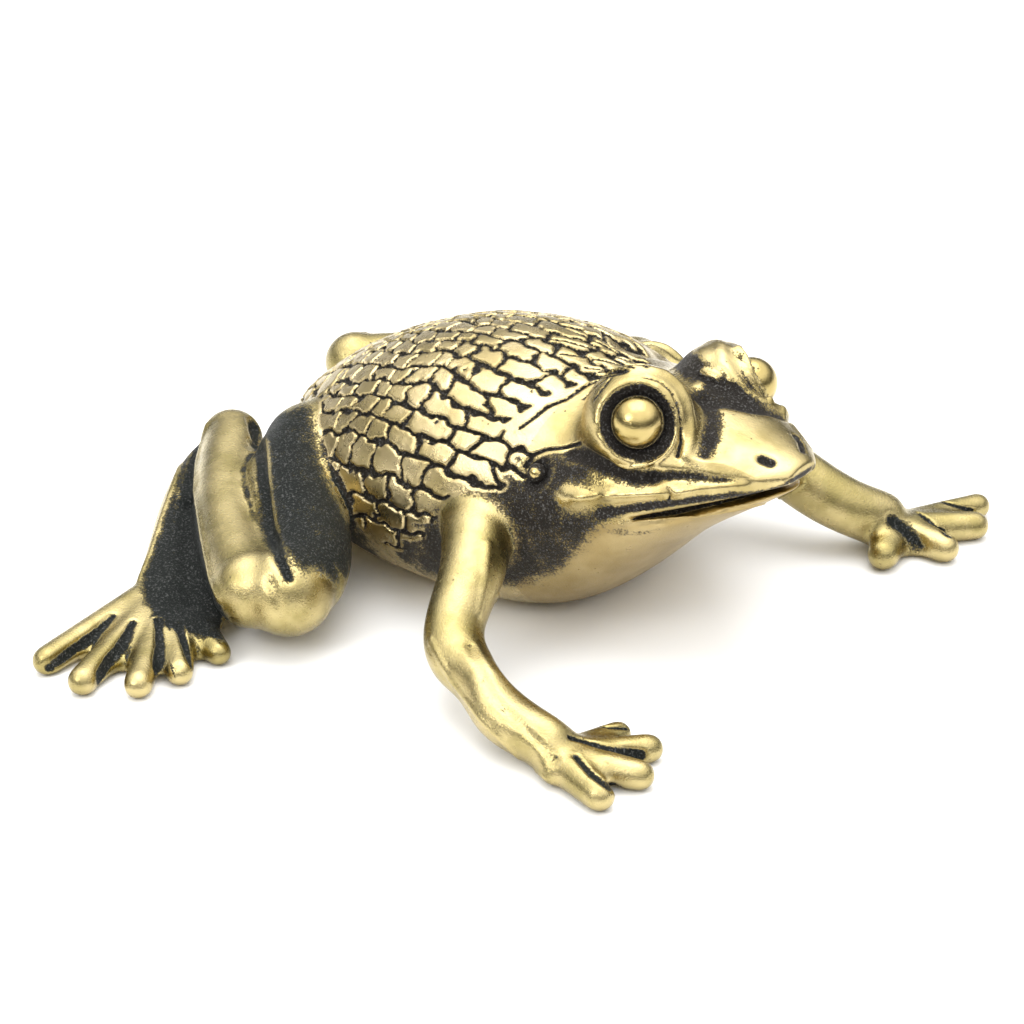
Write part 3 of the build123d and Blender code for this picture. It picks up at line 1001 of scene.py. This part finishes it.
@dataclass(frozen=True)
class HeadForms:
    """Strokes that shape the head."""

    large: tuple[Stroke, ...] = (
        # Brow over the eye, from behind it to the cheek
        Stroke(((612, 372), (628, 369), (648, 368), (666, 373), (680, 385), (689, 403), (692, 421),
                (690, 439), (686, 453)), (0.95, 0.85), (0.25, 0.50), -0.9, twin=Twin.EYE),
        # Hollow in front of the brow
        Stroke(((706, 396), (712, 412), (713, 426), (710, 440), (705, 454)), (1.4, 1.1), (-0.50, -0.30),
               0.90, twin=Twin.EYE),
        # Ridge from the eye to the nostril
        Stroke(((686, 458), (700, 461), (716, 463), (730, 466), (744, 473), (757, 480)), (0.50, 0.40),
               (0.30, 0.15), -0.95, twin=Twin.HEAD),
        # Dark channel below the eye
        Stroke(((572, 452), (588, 456), (604, 464), (618, 473), (634, 478), (652, 477)), (1.1, 0.85),
               (-0.50, -0.60), 1.0, twin=Twin.HEAD),
        Stroke(((652, 477), (672, 475), (690, 475), (710, 478), (730, 480), (750, 481)), (0.85, 0.25),
               (-0.60, -0.25), 1.0, twin=Twin.HEAD),
        # Cheek and upper lip
        Stroke(((568, 496), (576, 498), (584, 498)), (1.9, 1.5), (0.60, 0.50), -1.0, twin=Twin.HEAD),
        Stroke(((580, 497), (596, 495), (610, 495)), (1.1, 0.80), (0.35, 0.45), -1.0, twin=Twin.HEAD),
        Stroke(((608, 495), (624, 495), (644, 494), (664, 493)), (0.70, 0.45), (0.50, 0.45), -0.95,
               twin=Twin.HEAD),
        Stroke(((677, 493), (700, 489), (726, 486), (750, 482), (780, 477)), (0.50, 0.45), (0.45, 0.05),
               -0.95, twin=Twin.HEAD),
        # Valley between the eyes
        Stroke(((668, 353), (690, 366), (712, 384), (734, 398), (754, 412)), (2.0, 1.2), (-0.45, -0.08),
               1.0),
        Stroke(((732, 380), (748, 392), (764, 403)), (1.2, 0.9), (-0.05, 0.0), 0.75),
        # Nape
        Stroke(((622, 344), (640, 350), (656, 355), (672, 356)), (2.2, 1.8), (-0.45, -0.55)),
    )
    fine: tuple[Stroke, ...] = (
        # Line between the brow and the rim of the eye
        Stroke(((645, 377), (660, 381), (672, 391), (679, 407), (682, 425), (681, 441), (677, 456)),
               (0.22, 0.30), (-0.12, -0.34), 0.42, twin=Twin.EYE),
        Stroke(((640, 381), (657, 388), (668, 400), (675, 417), (676, 433), (672, 446), (665, 455),
                (657, 461), (650, 464)), (0.20, 0.26), (0.12, 0.26), -0.9, twin=Twin.EYE),
        # Lower lid
        Stroke(((652, 463), (640, 466), (628, 468), (618, 465), (611, 459)), (0.26, 0.22), (0.24, 0.10),
               -0.6, twin=Twin.EYE),
        # Ear dish and the line over it
        Stroke(((537, 474), (541, 474)), (1.95, 1.95), (-0.30, -0.30), 1.0, twin=Twin.HEAD),
        Stroke(((526, 466), (532, 455), (546, 449), (566, 447), (580, 443)), (0.32, 0.28),
               (-0.30, -0.20), 0.95, twin=Twin.HEAD),
        # Notch in the upper lip
        Stroke(((669, 500), (670, 494), (668, 489)), (0.16, 0.16), (-0.28, -0.18), 0.6, twin=Twin.HEAD),
        # Mouth, whose slot the solids have
        Stroke(((602, 513), (630, 509), (670, 504), (710, 499), (750, 494), (780, 487), (804, 474)),
               (0.55, 0.40), (0.0, 0.0), 1.0, Profile.FLAT, Twin.HEAD),
        # Lower lip, raised and rubbed bright, the brightness partly a painted highlight, and painted
        # shade under it
        Stroke(((620, 524), (640, 522), (670, 519), (700, 516), (740, 509), (770, 502), (790, 493),
                (804, 483)), (0.26, 0.24), (0.24, 0.12), -1.0, twin=Twin.HEAD),
        Stroke(((612, 531), (630, 533), (648, 532), (660, 529)), (0.80, 0.50), (0.0, 0.0), 0.45,
               twin=Twin.HEAD),
        # Nostrils
        Stroke(((763, 459), (770, 462)), (0.85, 0.85), (-0.36, -0.36), 1.0),
        Stroke(((796, 436), (801, 443), (803, 451)), (0.60, 0.50), (-0.25, -0.25), 1.0),
        # Skin that closes round the far eye
        Stroke(((738, 350), (744, 358), (750, 374), (760, 388), (770, 400)), (0.75, 0.65), (0.50, 0.30)),
        # Hollow below the bead on the crown
        Stroke(((700, 376), (708, 381), (716, 385)), (0.55, 0.45), (-0.25, -0.20), 1.0),
        Stroke(((704, 371), (711, 372), (717, 375)), (0.55, 0.45), (0.10, 0.10), -0.9),
    )


@dataclass(frozen=True)
class LimbForms:
    """Strokes that shape the legs."""

    large: tuple[Stroke, ...] = (
        # Hollow between foot and shank
        Stroke(((203, 428), (194, 455), (187, 485), (186, 500)), (0.40, 0.90), (-0.50, -0.75), 1.0,
               twin=Twin.BODY),
        Stroke(((186, 500), (186, 530), (188, 560), (190, 600)), (0.95, 1.9), (-0.75, -0.50), 1.0,
               twin=Twin.BODY),
        # Valley between shank and thigh, cut and darkened: patina in the groove, and painted shade in the
        # soft dark that spreads up its sides
        Stroke(((256, 425), (261, 480), (269, 530), (280, 560), (289, 578)), (1.30, 0.65),
               (-0.80, -0.60), 1.0, twin=Twin.BODY),
        # Outer edge of the shank
        Stroke(((207, 424), (197, 462), (195, 492), (203, 540), (211, 580), (219, 600)), (0.45, 0.45),
               (0.30, 0.40), -0.95, twin=Twin.BODY),
        # Between the two bulges of the knee: a cut valley, darkened a little as a painted dark reflection
        Stroke(((270, 580), (277, 600), (281, 616)), (0.8, 0.6), (-0.32, -0.20), 0.30, twin=Twin.BODY),
        # Edge of the foot
        Stroke(((202, 420), (181, 462), (164, 510), (151, 550), (139, 580)), (0.40, 0.45),
               (0.30, 0.35), -0.95),
        # Hollow of the far hand
        Stroke(((892, 520), (905, 531), (920, 546)), (1.0, 0.9), (-0.40, -0.40), 1.0),
    )
    fine: tuple[Stroke, ...] = (
        # Webs of the near foot
        Stroke(((112, 616), (92, 636), (72, 652), (52, 668)), (0.60, 1.15), (-0.25, -0.40), 1.0),
        Stroke(((133, 622), (121, 646), (110, 662), (102, 677)), (0.60, 1.25), (-0.25, -0.40), 1.0),
        Stroke(((158, 620), (160, 645), (157, 672)), (0.60, 0.90), (-0.25, -0.40), 1.0),
        Stroke(((178, 626), (186, 646), (192, 664)), (0.60, 0.80), (-0.20, -0.30), 1.0),
        # Tops of the near toes, rubbed bright as painted highlights
        Stroke(((134, 596), (96, 620), (58, 645), (44, 659)), (0.75, 0.85), (0.0, 0.0), -1.0),
        Stroke(((130, 604), (103, 640), (79, 674)), (0.60, 0.85), (0.0, 0.0), -1.0),
        Stroke(((147, 610), (141, 645), (137, 686)), (0.55, 0.75), (0.0, 0.0), -1.0),
        Stroke(((166, 628), (174, 652), (180, 674)), (0.40, 0.65), (0.0, 0.0), -0.9),
        Stroke(((208, 640), (216, 652)), (0.55, 0.60), (0.0, 0.0), -0.9),
        # The far knee, rubbed bright
        Stroke(((636, 345), (650, 345), (664, 352), (676, 362)), (2.2, 2.2), (0.0, 0.0), -1.0),
        # Webs of the near hand
        Stroke(((576, 756), (592, 773), (610, 786), (630, 792)), (0.45, 1.00), (-0.30, -0.40), 1.0),
        Stroke(((570, 737), (598, 745), (620, 751), (640, 757)), (0.40, 0.95), (-0.25, -0.40), 1.0),
        Stroke(((588, 724), (608, 727), (628, 728)), (0.22, 0.30), (-0.20, -0.25), 0.9),
        # Webs of the far hand
        Stroke(((919, 513), (935, 525), (949, 535)), (0.35, 0.55), (-0.25, -0.35), 1.0),
        Stroke(((940, 501), (958, 506), (973, 511)), (0.30, 0.45), (-0.20, -0.30), 1.0),
        # Facets of the near arm; the upper arm's plane is raised a little and rubbed bright as a painted
        # highlight
        Stroke(((488, 545), (486, 580), (480, 612)), (0.9, 0.7), (0.16, 0.12), -0.5),
        # Forearm ridge, raised a little and rubbed bright as a painted highlight
        Stroke(((430, 640), (450, 680), (480, 720), (520, 760), (545, 778)), (0.60, 0.50),
               (0.14, 0.10), -0.5),
        # Forearm valley, cut a little and darkened a little as a painted dark reflection
        Stroke(((470, 645), (492, 695), (530, 735), (555, 758)), (0.80, 0.70), (-0.15, -0.15), 0.15),
    )


# Fine cuts that fan out from the neck
BACK_CUTS: tuple[Stroke, ...] = (
    Stroke(((636, 362), (615, 352), (590, 338), (566, 328), (545, 318)), (0.16, 0.22),
           (-0.18, -0.22), 0.95),
    Stroke(((637, 363), (612, 356), (590, 348), (565, 341), (540, 338)), (0.16, 0.22),
           (-0.18, -0.22), 0.95),
    Stroke(((634, 368), (608, 362), (585, 357), (560, 354)), (0.16, 0.20), (-0.18, -0.20), 0.95),
    Stroke(((628, 371), (605, 370), (585, 368)), (0.16, 0.20), (-0.18, -0.20), 0.95),
    Stroke(((620, 373), (603, 378), (590, 383), (577, 390)), (0.15, 0.18), (-0.18, -0.18), 0.9),
    Stroke(((622, 368), (600, 372), (580, 374)), (0.15, 0.18), (-0.16, -0.18), 0.9),
    Stroke(((601, 379), (587, 385), (566, 399), (548, 406)), (0.18, 0.30), (-0.20, -0.25), 1.0),
    Stroke(((607, 378), (597, 386), (583, 399)), (0.15, 0.15), (-0.18, -0.15), 0.9),
    Stroke(((611, 378), (603, 388), (594, 400)), (0.15, 0.15), (-0.18, -0.12), 0.85),
    Stroke(((548, 406), (535, 417), (520, 428)), (0.28, 0.22), (-0.22, -0.18), 0.95),
)

STAINS: tuple[Stain, ...] = (
    # Throat and flank round the foreleg
    Stain(((425, 518), (440, 500), (470, 484), (500, 482), (508, 462), (522, 452), (560, 446), (592, 470),
           (600, 508), (622, 519), (612, 520), (588, 535), (578, 549), (566, 566), (546, 580), (504, 589),
           (440, 582), (405, 566), (385, 545), (398, 530)), 0.74, 13.0, ("torso", "lower_jaw", "head"),
          Twin.BODY),
    # Haunch and hip
    Stain(((250, 424), (266, 412), (292, 404), (308, 396), (316, 430), (326, 480), (345, 512), (374, 545),
           (386, 562), (362, 566), (352, 580), (338, 584), (316, 572), (300, 574), (288, 580), (272, 560),
           (262, 520), (256, 480)),
          0.82, 14.0, ("torso", "right_hind_leg", "left_hind_leg"), Twin.BODY),
    # Sole side of the foot, between its outer edge and the shank
    Stain(((205, 424), (197, 462), (195, 492), (204, 540), (211, 580), (220, 604), (234, 626), (236, 640),
           (222, 650), (206, 642), (194, 634), (176, 634), (158, 628), (146, 604), (142, 580), (152, 550),
           (165, 512), (182, 464)), 1.0, 3.0, ("right_hind_leg", "left_hind_leg"), Twin.BODY),
)

RIGHT_EYE = EyeCarving((16.25, -2.58, 21.2), (0.496, -0.750, 0.438))
LEFT_EYE = EyeCarving((17.11, 8.39, 19.5), (0.607, 0.663, 0.438))

# Where each piece ends inside the figure, in millimetres
TORSO_CORE: Triple = (-6.0, 3.6, 9.0)
HEAD_CORE: Triple = (10.0, 3.2, 11.5)
PIECE_CORES: dict[str, Triple] = {
    "carved_back": TORSO_CORE, "carved_belly": TORSO_CORE,
    "carved_head": HEAD_CORE, "carved_jaw": HEAD_CORE,
    "right_arm": (2.5, -5.5, 9.8), "left_arm": (2.5, 12.7, 9.8),
    "right_leg": (-15.0, -2.0, 8.6), "left_leg": (-15.0, 9.2, 8.6),
}

FINISHES: tuple[Finish, ...] = (
    Finish("carved_brass", (0.64, 0.52, 0.28), (0.44, 0.35, 0.16), (0.026, 0.022, 0.016), 0.28, 0.50,
           0.35, 0.6),
    Finish("face_brass", (0.57, 0.46, 0.22), (0.38, 0.30, 0.12), (0.026, 0.022, 0.018), 0.24, 0.48,
           0.25, 0.6),
    Finish("belly_brass", (0.50, 0.39, 0.19), (0.40, 0.30, 0.13), (0.030, 0.026, 0.020), 0.32, 0.50,
           0.45, 0.8),
    Finish("polished_brass", (0.60, 0.47, 0.21), (0.46, 0.36, 0.14), (0.026, 0.022, 0.018), 0.20, 0.45,
           0.15, 0.4),
    Finish("limb_brass", (0.52, 0.425, 0.20), (0.33, 0.27, 0.105), (0.015, 0.018, 0.016), 0.26, 0.50,
           0.40, 0.6),
)

# The solid that each piece replaces, and its slot
DRESS: dict[str, tuple[str, str]] = {
    "carved_back": ("torso", "carved_brass"),
    "carved_belly": ("torso", "carved_brass"),
    "carved_head": ("head", "face_brass"),
    "carved_jaw": ("lower_jaw", "belly_brass"),
    "right_arm": ("right_foreleg", "limb_brass"),
    "left_arm": ("left_foreleg", "limb_brass"),
    "right_leg": ("right_hind_leg", "limb_brass"),
    "left_leg": ("left_hind_leg", "limb_brass"),
    "right_eye_bead": ("right_eyeball", "polished_brass"),
    "left_eye_bead": ("left_eyeball", "polished_brass"),
    "right_ear_bead": ("right_eardrum", "polished_brass"),
    "left_ear_bead": ("left_eardrum", "polished_brass"),
}


@dataclass(frozen=True)
class Wear:
    """How age darkens hollows and handling rubs edges bright.

    Edges are depths in millimetres under a smoothed surface, where the effect starts and is full.
    """

    fine_rounds: int = 10
    wide_rounds: int = 90
    hollow_edge: tuple[float, float] = (0.06, 0.26)
    hollow_stain: float = 0.85
    groove_edge: tuple[float, float] = (0.010, 0.05)
    groove_stain: float = 0.30
    proud_edge: tuple[float, float] = (0.006, 0.035)
    proud_rub: float = 0.40

    def apply(self, skin: Skin) -> None:
        """Darkens what lies deep and rubs bright what stands proud.

        Args:
            skin: The carved skin.
        """
        fine = skin.hollowness(self.fine_rounds)
        wide = skin.hollowness(self.wide_rounds)
        skin.darken(smooth_step(wide, *self.hollow_edge) * self.hollow_stain)
        skin.stain += smooth_step(fine, *self.groove_edge) * self.groove_stain
        skin.stain -= smooth_step(-fine, *self.proud_edge) * self.proud_rub
        skin.stain = np.clip(skin.stain, 0.0, 1.0)


class Figure:
    """The whole frog: gathers the solids, carves their skin and cuts it into pieces.

    Voxels, distances and heights are in millimetres. Rounds say how often the skin or its stain
    is evened at each step.
    """

    coarse_voxel: float = 0.30
    fine_voxel: float = 0.16
    merge_distance: float = 1e-4
    crease_rounds: int = 45
    coarse_rounds: int = 3
    carved_rounds: int = 2
    fine_rounds: int = 3
    region_rounds: int = 28
    eye_rounds: int = 3
    seen_edge: tuple[float, float] = (-0.25, 0.05)
    flank_height: float = 7.5
    node_names: tuple[str, ...] = ("torso", "head", "lower_jaw", "right_foreleg", "left_foreleg",
                                   "right_hind_leg", "left_hind_leg")
    plated_nodes: tuple[str, ...] = ("torso", "head")

    def __init__(self, camera: PhotoCamera) -> None:
        """Keeps the camera and gathers the solids.

        Args:
            camera: The photograph's camera.
        """
        self.camera = camera
        self.mirror = Mirror()
        self.labels: list[int] = []
        self.nodes = np.empty(0, np.int32)
        self.solids, self.node_tree = self.gather()

    def gather(self) -> tuple[bpy.types.Mesh, BVHTree]:
        """Joins copies of the solids, and labels each face with its solid.

        Returns:
            The joined mesh in millimetres, and a search tree of its labelled faces.
        """
        joined = bmesh.new()
        for index, name in enumerate(self.node_names):
            joined.from_mesh(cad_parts[name].data)
            self.labels += [index] * (len(joined.faces) - len(self.labels))
        bmesh.ops.scale(joined, vec=(1 / MM,) * 3, verts=joined.verts)
        tree = BVHTree.FromBMesh(joined)
        bmesh.ops.remove_doubles(joined, verts=joined.verts, dist=self.merge_distance)
        mesh = bpy.data.meshes.new("skin")
        joined.to_mesh(mesh)
        joined.free()
        return mesh, tree

    @staticmethod
    def remeshed(mesh: bpy.types.Mesh, voxel: float) -> bpy.types.Mesh:
        """Turns a mesh into one even skin of quads.

        Args:
            mesh: Closed solids in millimetres.
            voxel: Size of the quads in millimetres.

        Returns:
            The remeshed copy.
        """
        carrier = bpy.data.objects.new("skin", mesh)
        bpy.context.scene.collection.objects.link(carrier)
        remesh = carrier.modifiers.new("even", "REMESH")
        remesh.mode = "VOXEL"
        remesh.voxel_size = voxel
        remesh.adaptivity = 0.0
        graph = bpy.context.evaluated_depsgraph_get()
        result = bpy.data.meshes.new_from_object(carrier.evaluated_get(graph))
        bpy.data.objects.remove(carrier)
        return result

    def node_of(self, places: np.ndarray) -> np.ndarray:
        """Which solid each place belongs to.

        Args:
            places: Places in millimetres, one row each.

        Returns:
            Indices into the node names.
        """
        find = self.node_tree.find_nearest
        return np.array([self.labels[find(place)[2]] for place in places.tolist()], np.int32)

    def belongs(self, names: tuple[str, ...]) -> np.ndarray:
        """Which vertices of the skin belong to the named solids."""
        return np.isin(self.nodes, [self.node_names.index(name) for name in names])

    def shape(self) -> Skin:
        """Carves the skin, large forms first.

        Returns:
            The finished skin in millimetres.
        """
        large = HeadForms().large + LimbForms().large
        fine = HeadForms().fine + LimbForms().fine
        skin = Skin(self.remeshed(self.solids, self.coarse_voxel))
        skin.fill_creases(self.crease_rounds)
        skin.smooth(self.coarse_rounds)
        carver = Carver(skin, self.camera, self.mirror)
        for stroke in large:
            carver.lay(stroke)
        skin.smooth(self.carved_rounds)
        skin.write()
        log.info("large forms carved, %d vertices", len(skin.places))
        skin = Skin(self.remeshed(skin.mesh, self.fine_voxel))
        skin.smooth(self.fine_rounds)
        self.nodes = self.node_of(skin.places)
        self.stain(skin)
        carver = Carver(skin, self.camera, self.mirror)
        for stroke in large:
            carver.lay(stroke, lift=False)
        skin.soften_stain(self.region_rounds)
        for stroke in fine:
            carver.lay(stroke)
        for eye in (RIGHT_EYE, LEFT_EYE):
            eye.stain(skin)
        skin.normals = skin.find_normals()
        skin.soften_stain(self.eye_rounds)
        carver.renew()
        for stroke in BACK_CUTS:
            carver.lay(stroke)
        skin.normals = skin.find_normals()
        BackCarving().carve(skin, self.camera, self.mirror, self.belongs(self.plated_nodes))
        Wear().apply(skin)
        log.info("fine forms carved, %d vertices", len(skin.places))
        return skin

    def stain(self, skin: Skin) -> None:
        """Lays the dark regions on the skin.

        Args:
            skin: The figure's surface.
        """
        for stain in STAINS:
            chosen = np.nonzero(self.belongs(stain.nodes))[0]
            points, normals = skin.places[chosen], skin.normals[chosen]
            amount = np.zeros(len(chosen))
            views = [(points, normals)]
            if stain.twin is not Twin.NONE:
                twin = self.mirror.reflect(points, stain.twin)
                views.append((twin, normals * OTHER_SIDE))
            for places, directions in views:
                depth = polygon_depth(self.camera.project(places), stain.outline)
                seen = smooth_step(self.camera.facing(places, directions), *self.seen_edge)
                one = smooth_step(depth, -stain.softness, stain.softness) * seen * stain.amount
                amount = np.maximum(amount, one)
            full = np.zeros(len(skin.places))
            full[chosen] = amount
            skin.darken(full)

    def cut_apart(self, skin: Skin) -> dict[str, bpy.types.Object]:
        """Cuts the skin into closed pieces with matching seams.

        Args:
            skin: The carved skin.

        Returns:
            The pieces by name.
        """
        skin.write()
        mesh = skin.mesh
        names = list(PIECE_CORES)
        torso = self.belongs(("torso",))
        vertex_piece = np.where(torso, names.index("carved_back"), self.nodes + 1)
        vertex_piece[torso & (skin.places[:, 2] < self.flank_height)] = names.index("carved_belly")
        face_piece = vertex_piece[skin.quads[:, 0]]
        stain = mesh.attributes.new("stain", "FLOAT", "POINT")
        stain.data.foreach_set("value", skin.stain.astype(np.float32))
        outward = mesh.attributes.new("outward", "FLOAT_VECTOR", "POINT")
        outward.data.foreach_set("vector", skin.normals.astype(np.float32).ravel())
        whole = bmesh.new()
        whole.from_mesh(mesh)
        pieces = {}
        for index, name in enumerate(names):
            part = whole.copy()
            part.faces.ensure_lookup_table()
            others = [part.faces[i] for i in np.nonzero(face_piece != index)[0].tolist()]
            bmesh.ops.delete(part, geom=others, context="FACES")
            pieces[name] = self.closed(part, name, PIECE_CORES[name])
        whole.free()
        return pieces

    @staticmethod
    def closed(part: bmesh.types.BMesh, name: str, core: Triple) -> bpy.types.Object:
        """Closes a cut piece inside the figure and makes its object.

        Args:
            part: The open piece in millimetres.
            name: The object's name.
            core: The place inside the figure where the piece ends, as a root in its socket.

        Returns:
            The object, in metres, with the whole skin's normals.
        """
        rim = [edge for edge in part.edges if edge.is_boundary]
        inner = bmesh.ops.extrude_edge_only(part, edges=rim)["geom"]
        inner = [item for item in inner if isinstance(item, bmesh.types.BMVert)]
        bmesh.ops.pointmerge(part, verts=inner, merge_co=Vector(core))
        bmesh.ops.scale(part, vec=(MM,) * 3, verts=part.verts)
        mesh = bpy.data.meshes.new(name)
        part.to_mesh(mesh)
        part.free()
        outward = np.empty(len(mesh.vertices) * 3, np.float32)
        mesh.attributes["outward"].data.foreach_get("vector", outward)
        mesh.attributes.remove(mesh.attributes["outward"])
        mesh.polygons.foreach_set("use_smooth", [True] * len(mesh.polygons))
        mesh.normals_split_custom_set_from_vertices(outward.reshape(-1, 3).tolist())
        piece = bpy.data.objects.new(name, mesh)
        bpy.context.scene.collection.objects.link(piece)
        return piece


@dataclass(frozen=True)
class Bead:
    """A round bead such as an eyeball, seated in the skin. Angles are in degrees.

    It is bright round its outward direction, and darkens from the rim angle on.
    """

    name: str
    node: str
    outward: Triple
    rim_angle: float
    rim_span: float = 25.0
    subdivisions: int = 6

    def build(self) -> bpy.types.Object:
        """Makes the bead where its solid is.

        Returns:
            The bead's object.
        """
        low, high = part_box(self.node)
        centre = (Vector(low) + Vector(high)) / 2
        radius = (high[0] - low[0]) / 2
        shape = bmesh.new()
        bmesh.ops.create_icosphere(shape, subdivisions=self.subdivisions, radius=radius)
        outward = Vector(self.outward).normalized()
        layer = shape.verts.layers.float.new("stain")
        for vertex in shape.verts:
            lean = math.degrees(vertex.co.angle(outward))
            vertex[layer] = min(1.0, max(0.0, (lean - self.rim_angle) / self.rim_span))
        bmesh.ops.translate(shape, vec=centre, verts=shape.verts)
        mesh = bpy.data.meshes.new(self.name)
        shape.to_mesh(mesh)
        shape.free()
        mesh.polygons.foreach_set("use_smooth", [True] * len(mesh.polygons))
        bead = bpy.data.objects.new(self.name, mesh)
        bpy.context.scene.collection.objects.link(bead)
        return bead


EYE_RIM = 62.0
EAR_RIM = 22.0
BEADS: tuple[Bead, ...] = (
    Bead("right_eye_bead", "right_eyeball", RIGHT_EYE.outward, EYE_RIM),
    Bead("left_eye_bead", "left_eyeball", LEFT_EYE.outward, EYE_RIM),
    Bead("right_ear_bead", "right_eardrum", (0.3, -0.9, 0.5), EAR_RIM),
    Bead("left_ear_bead", "left_eardrum", (0.3, 0.9, 0.5), EAR_RIM),
)


@dataclass(frozen=True)
class SoftLight:
    """One square area light that faces the figure. Lengths are in metres, power in watts."""

    name: str
    place: Triple
    size: float
    power: float
    aim: Triple = (0.0, 0.0, 0.01)

    def build(self) -> None:
        """Makes the light."""
        lamp = bpy.data.lights.new(self.name, "AREA")
        lamp.shape = "SQUARE"
        lamp.size = self.size
        lamp.energy = self.power
        light = bpy.data.objects.new(self.name, lamp)
        light.location = self.place
        aim = Vector(self.aim) - Vector(self.place)
        light.rotation_euler = aim.to_track_quat("-Z", "Y").to_euler()
        bpy.context.scene.collection.objects.link(light)


@dataclass(frozen=True)
class Studio:
    """A pale floor and soft light from above. Lengths are in metres.

    The sky gives grey levels at heights from the horizon, at 0, to the zenith, at 1.
    """

    floor_size: float = 1.2
    floor_drop: float = 0.00002
    floor_colour: tuple[float, ...] = (0.94, 0.94, 0.94, 1.0)
    floor_rough: float = 0.9
    floor_specular: float = 0.1
    lights: tuple[SoftLight, ...] = (
        SoftLight("key", (-0.06, -0.30, 0.22), 0.13, 0.32),
        SoftLight("top", (-0.05, 0.05, 0.40), 0.35, 0.9),
    )
    sky: tuple[tuple[float, float], ...] = (
        (0.0, 0.06), (0.22, 0.08), (0.38, 0.24), (0.54, 0.80), (0.70, 1.0),
    )
    sky_strength: float = 1.95

    def build(self) -> None:
        """Makes the floor, the lights and the surroundings."""
        self.build_floor()
        for light in self.lights:
            light.build()
        self.build_sky()
        bpy.context.scene.view_settings.view_transform = "Standard"

    def build_floor(self) -> None:
        """Makes the floor, marked as a backdrop. Makes the floor, which the export
        leaves out.
        """
        ground = bmesh.new()
        bmesh.ops.create_grid(ground, x_segments=1, y_segments=1, size=self.floor_size)
        mesh = bpy.data.meshes.new("floor")
        ground.to_mesh(mesh)
        ground.free()
        floor = bpy.data.objects.new("floor", mesh)
        floor.location.z = -self.floor_drop
        paint = bpy.data.materials.new("floor_paint")
        paint.use_nodes = True
        shader = paint.node_tree.nodes["Principled BSDF"]
        shader.inputs["Base Color"].default_value = self.floor_colour
        shader.inputs["Roughness"].default_value = self.floor_rough
        shader.inputs["Specular IOR Level"].default_value = self.floor_specular
        mesh.materials.append(paint)
        bpy.context.scene.collection.objects.link(floor)
        floor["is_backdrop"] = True

    def build_sky(self) -> None:
        """Makes a bright ceiling over a darker band round the horizon."""
        world = bpy.data.worlds.new("studio")
        bpy.context.scene.world = world
        world.use_nodes = True
        nodes, link = world.node_tree.nodes, world.node_tree.links.new
        background = nodes["Background"]
        place = nodes.new("ShaderNodeTexCoord")
        split = nodes.new("ShaderNodeSeparateXYZ")
        link(place.outputs["Generated"], split.inputs["Vector"])
        ramp = nodes.new("ShaderNodeValToRGB")
        ramp.color_ramp.interpolation = "EASE"
        stops = ramp.color_ramp.elements
        stops[-1].position = self.sky[-1][0]
        for height, _ in self.sky[1:-1]:
            stops.new(height)
        for stop, (height, grey) in zip(stops, self.sky):
            stop.position = height
            stop.color = (grey, grey, grey, 1.0)
        link(split.outputs["Z"], ramp.inputs["Fac"])
        link(ramp.outputs["Color"], background.inputs["Color"])
        background.inputs["Strength"].default_value = self.sky_strength


def corners() -> list[list[float]]:
    """The shown object's box as plain lists."""
    return [list(corner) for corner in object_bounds()]


def main() -> None:
    """Builds the camera, the figure and the studio."""
    logging.basicConfig(level=logging.INFO, format="%(message)s")
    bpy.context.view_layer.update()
    camera = PhotoCamera()
    camera.build()
    figure = Figure(camera)
    pieces = figure.cut_apart(figure.shape())
    for bead in BEADS:
        pieces[bead.name] = bead.build()
    effects = Effects()
    materials = {finish.slot: finish.build(effects) for finish in FINISHES}
    for name, (node, slot) in DRESS.items():
        piece = pieces[name]
        piece.data.materials.append(materials[slot])
        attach(piece, BODY)
        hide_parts(node)
        log.info("%s stands for %s in %s, %d faces", name, node, slot, len(piece.data.polygons))
    Studio().build()


if __name__ == "__main__":
    main()
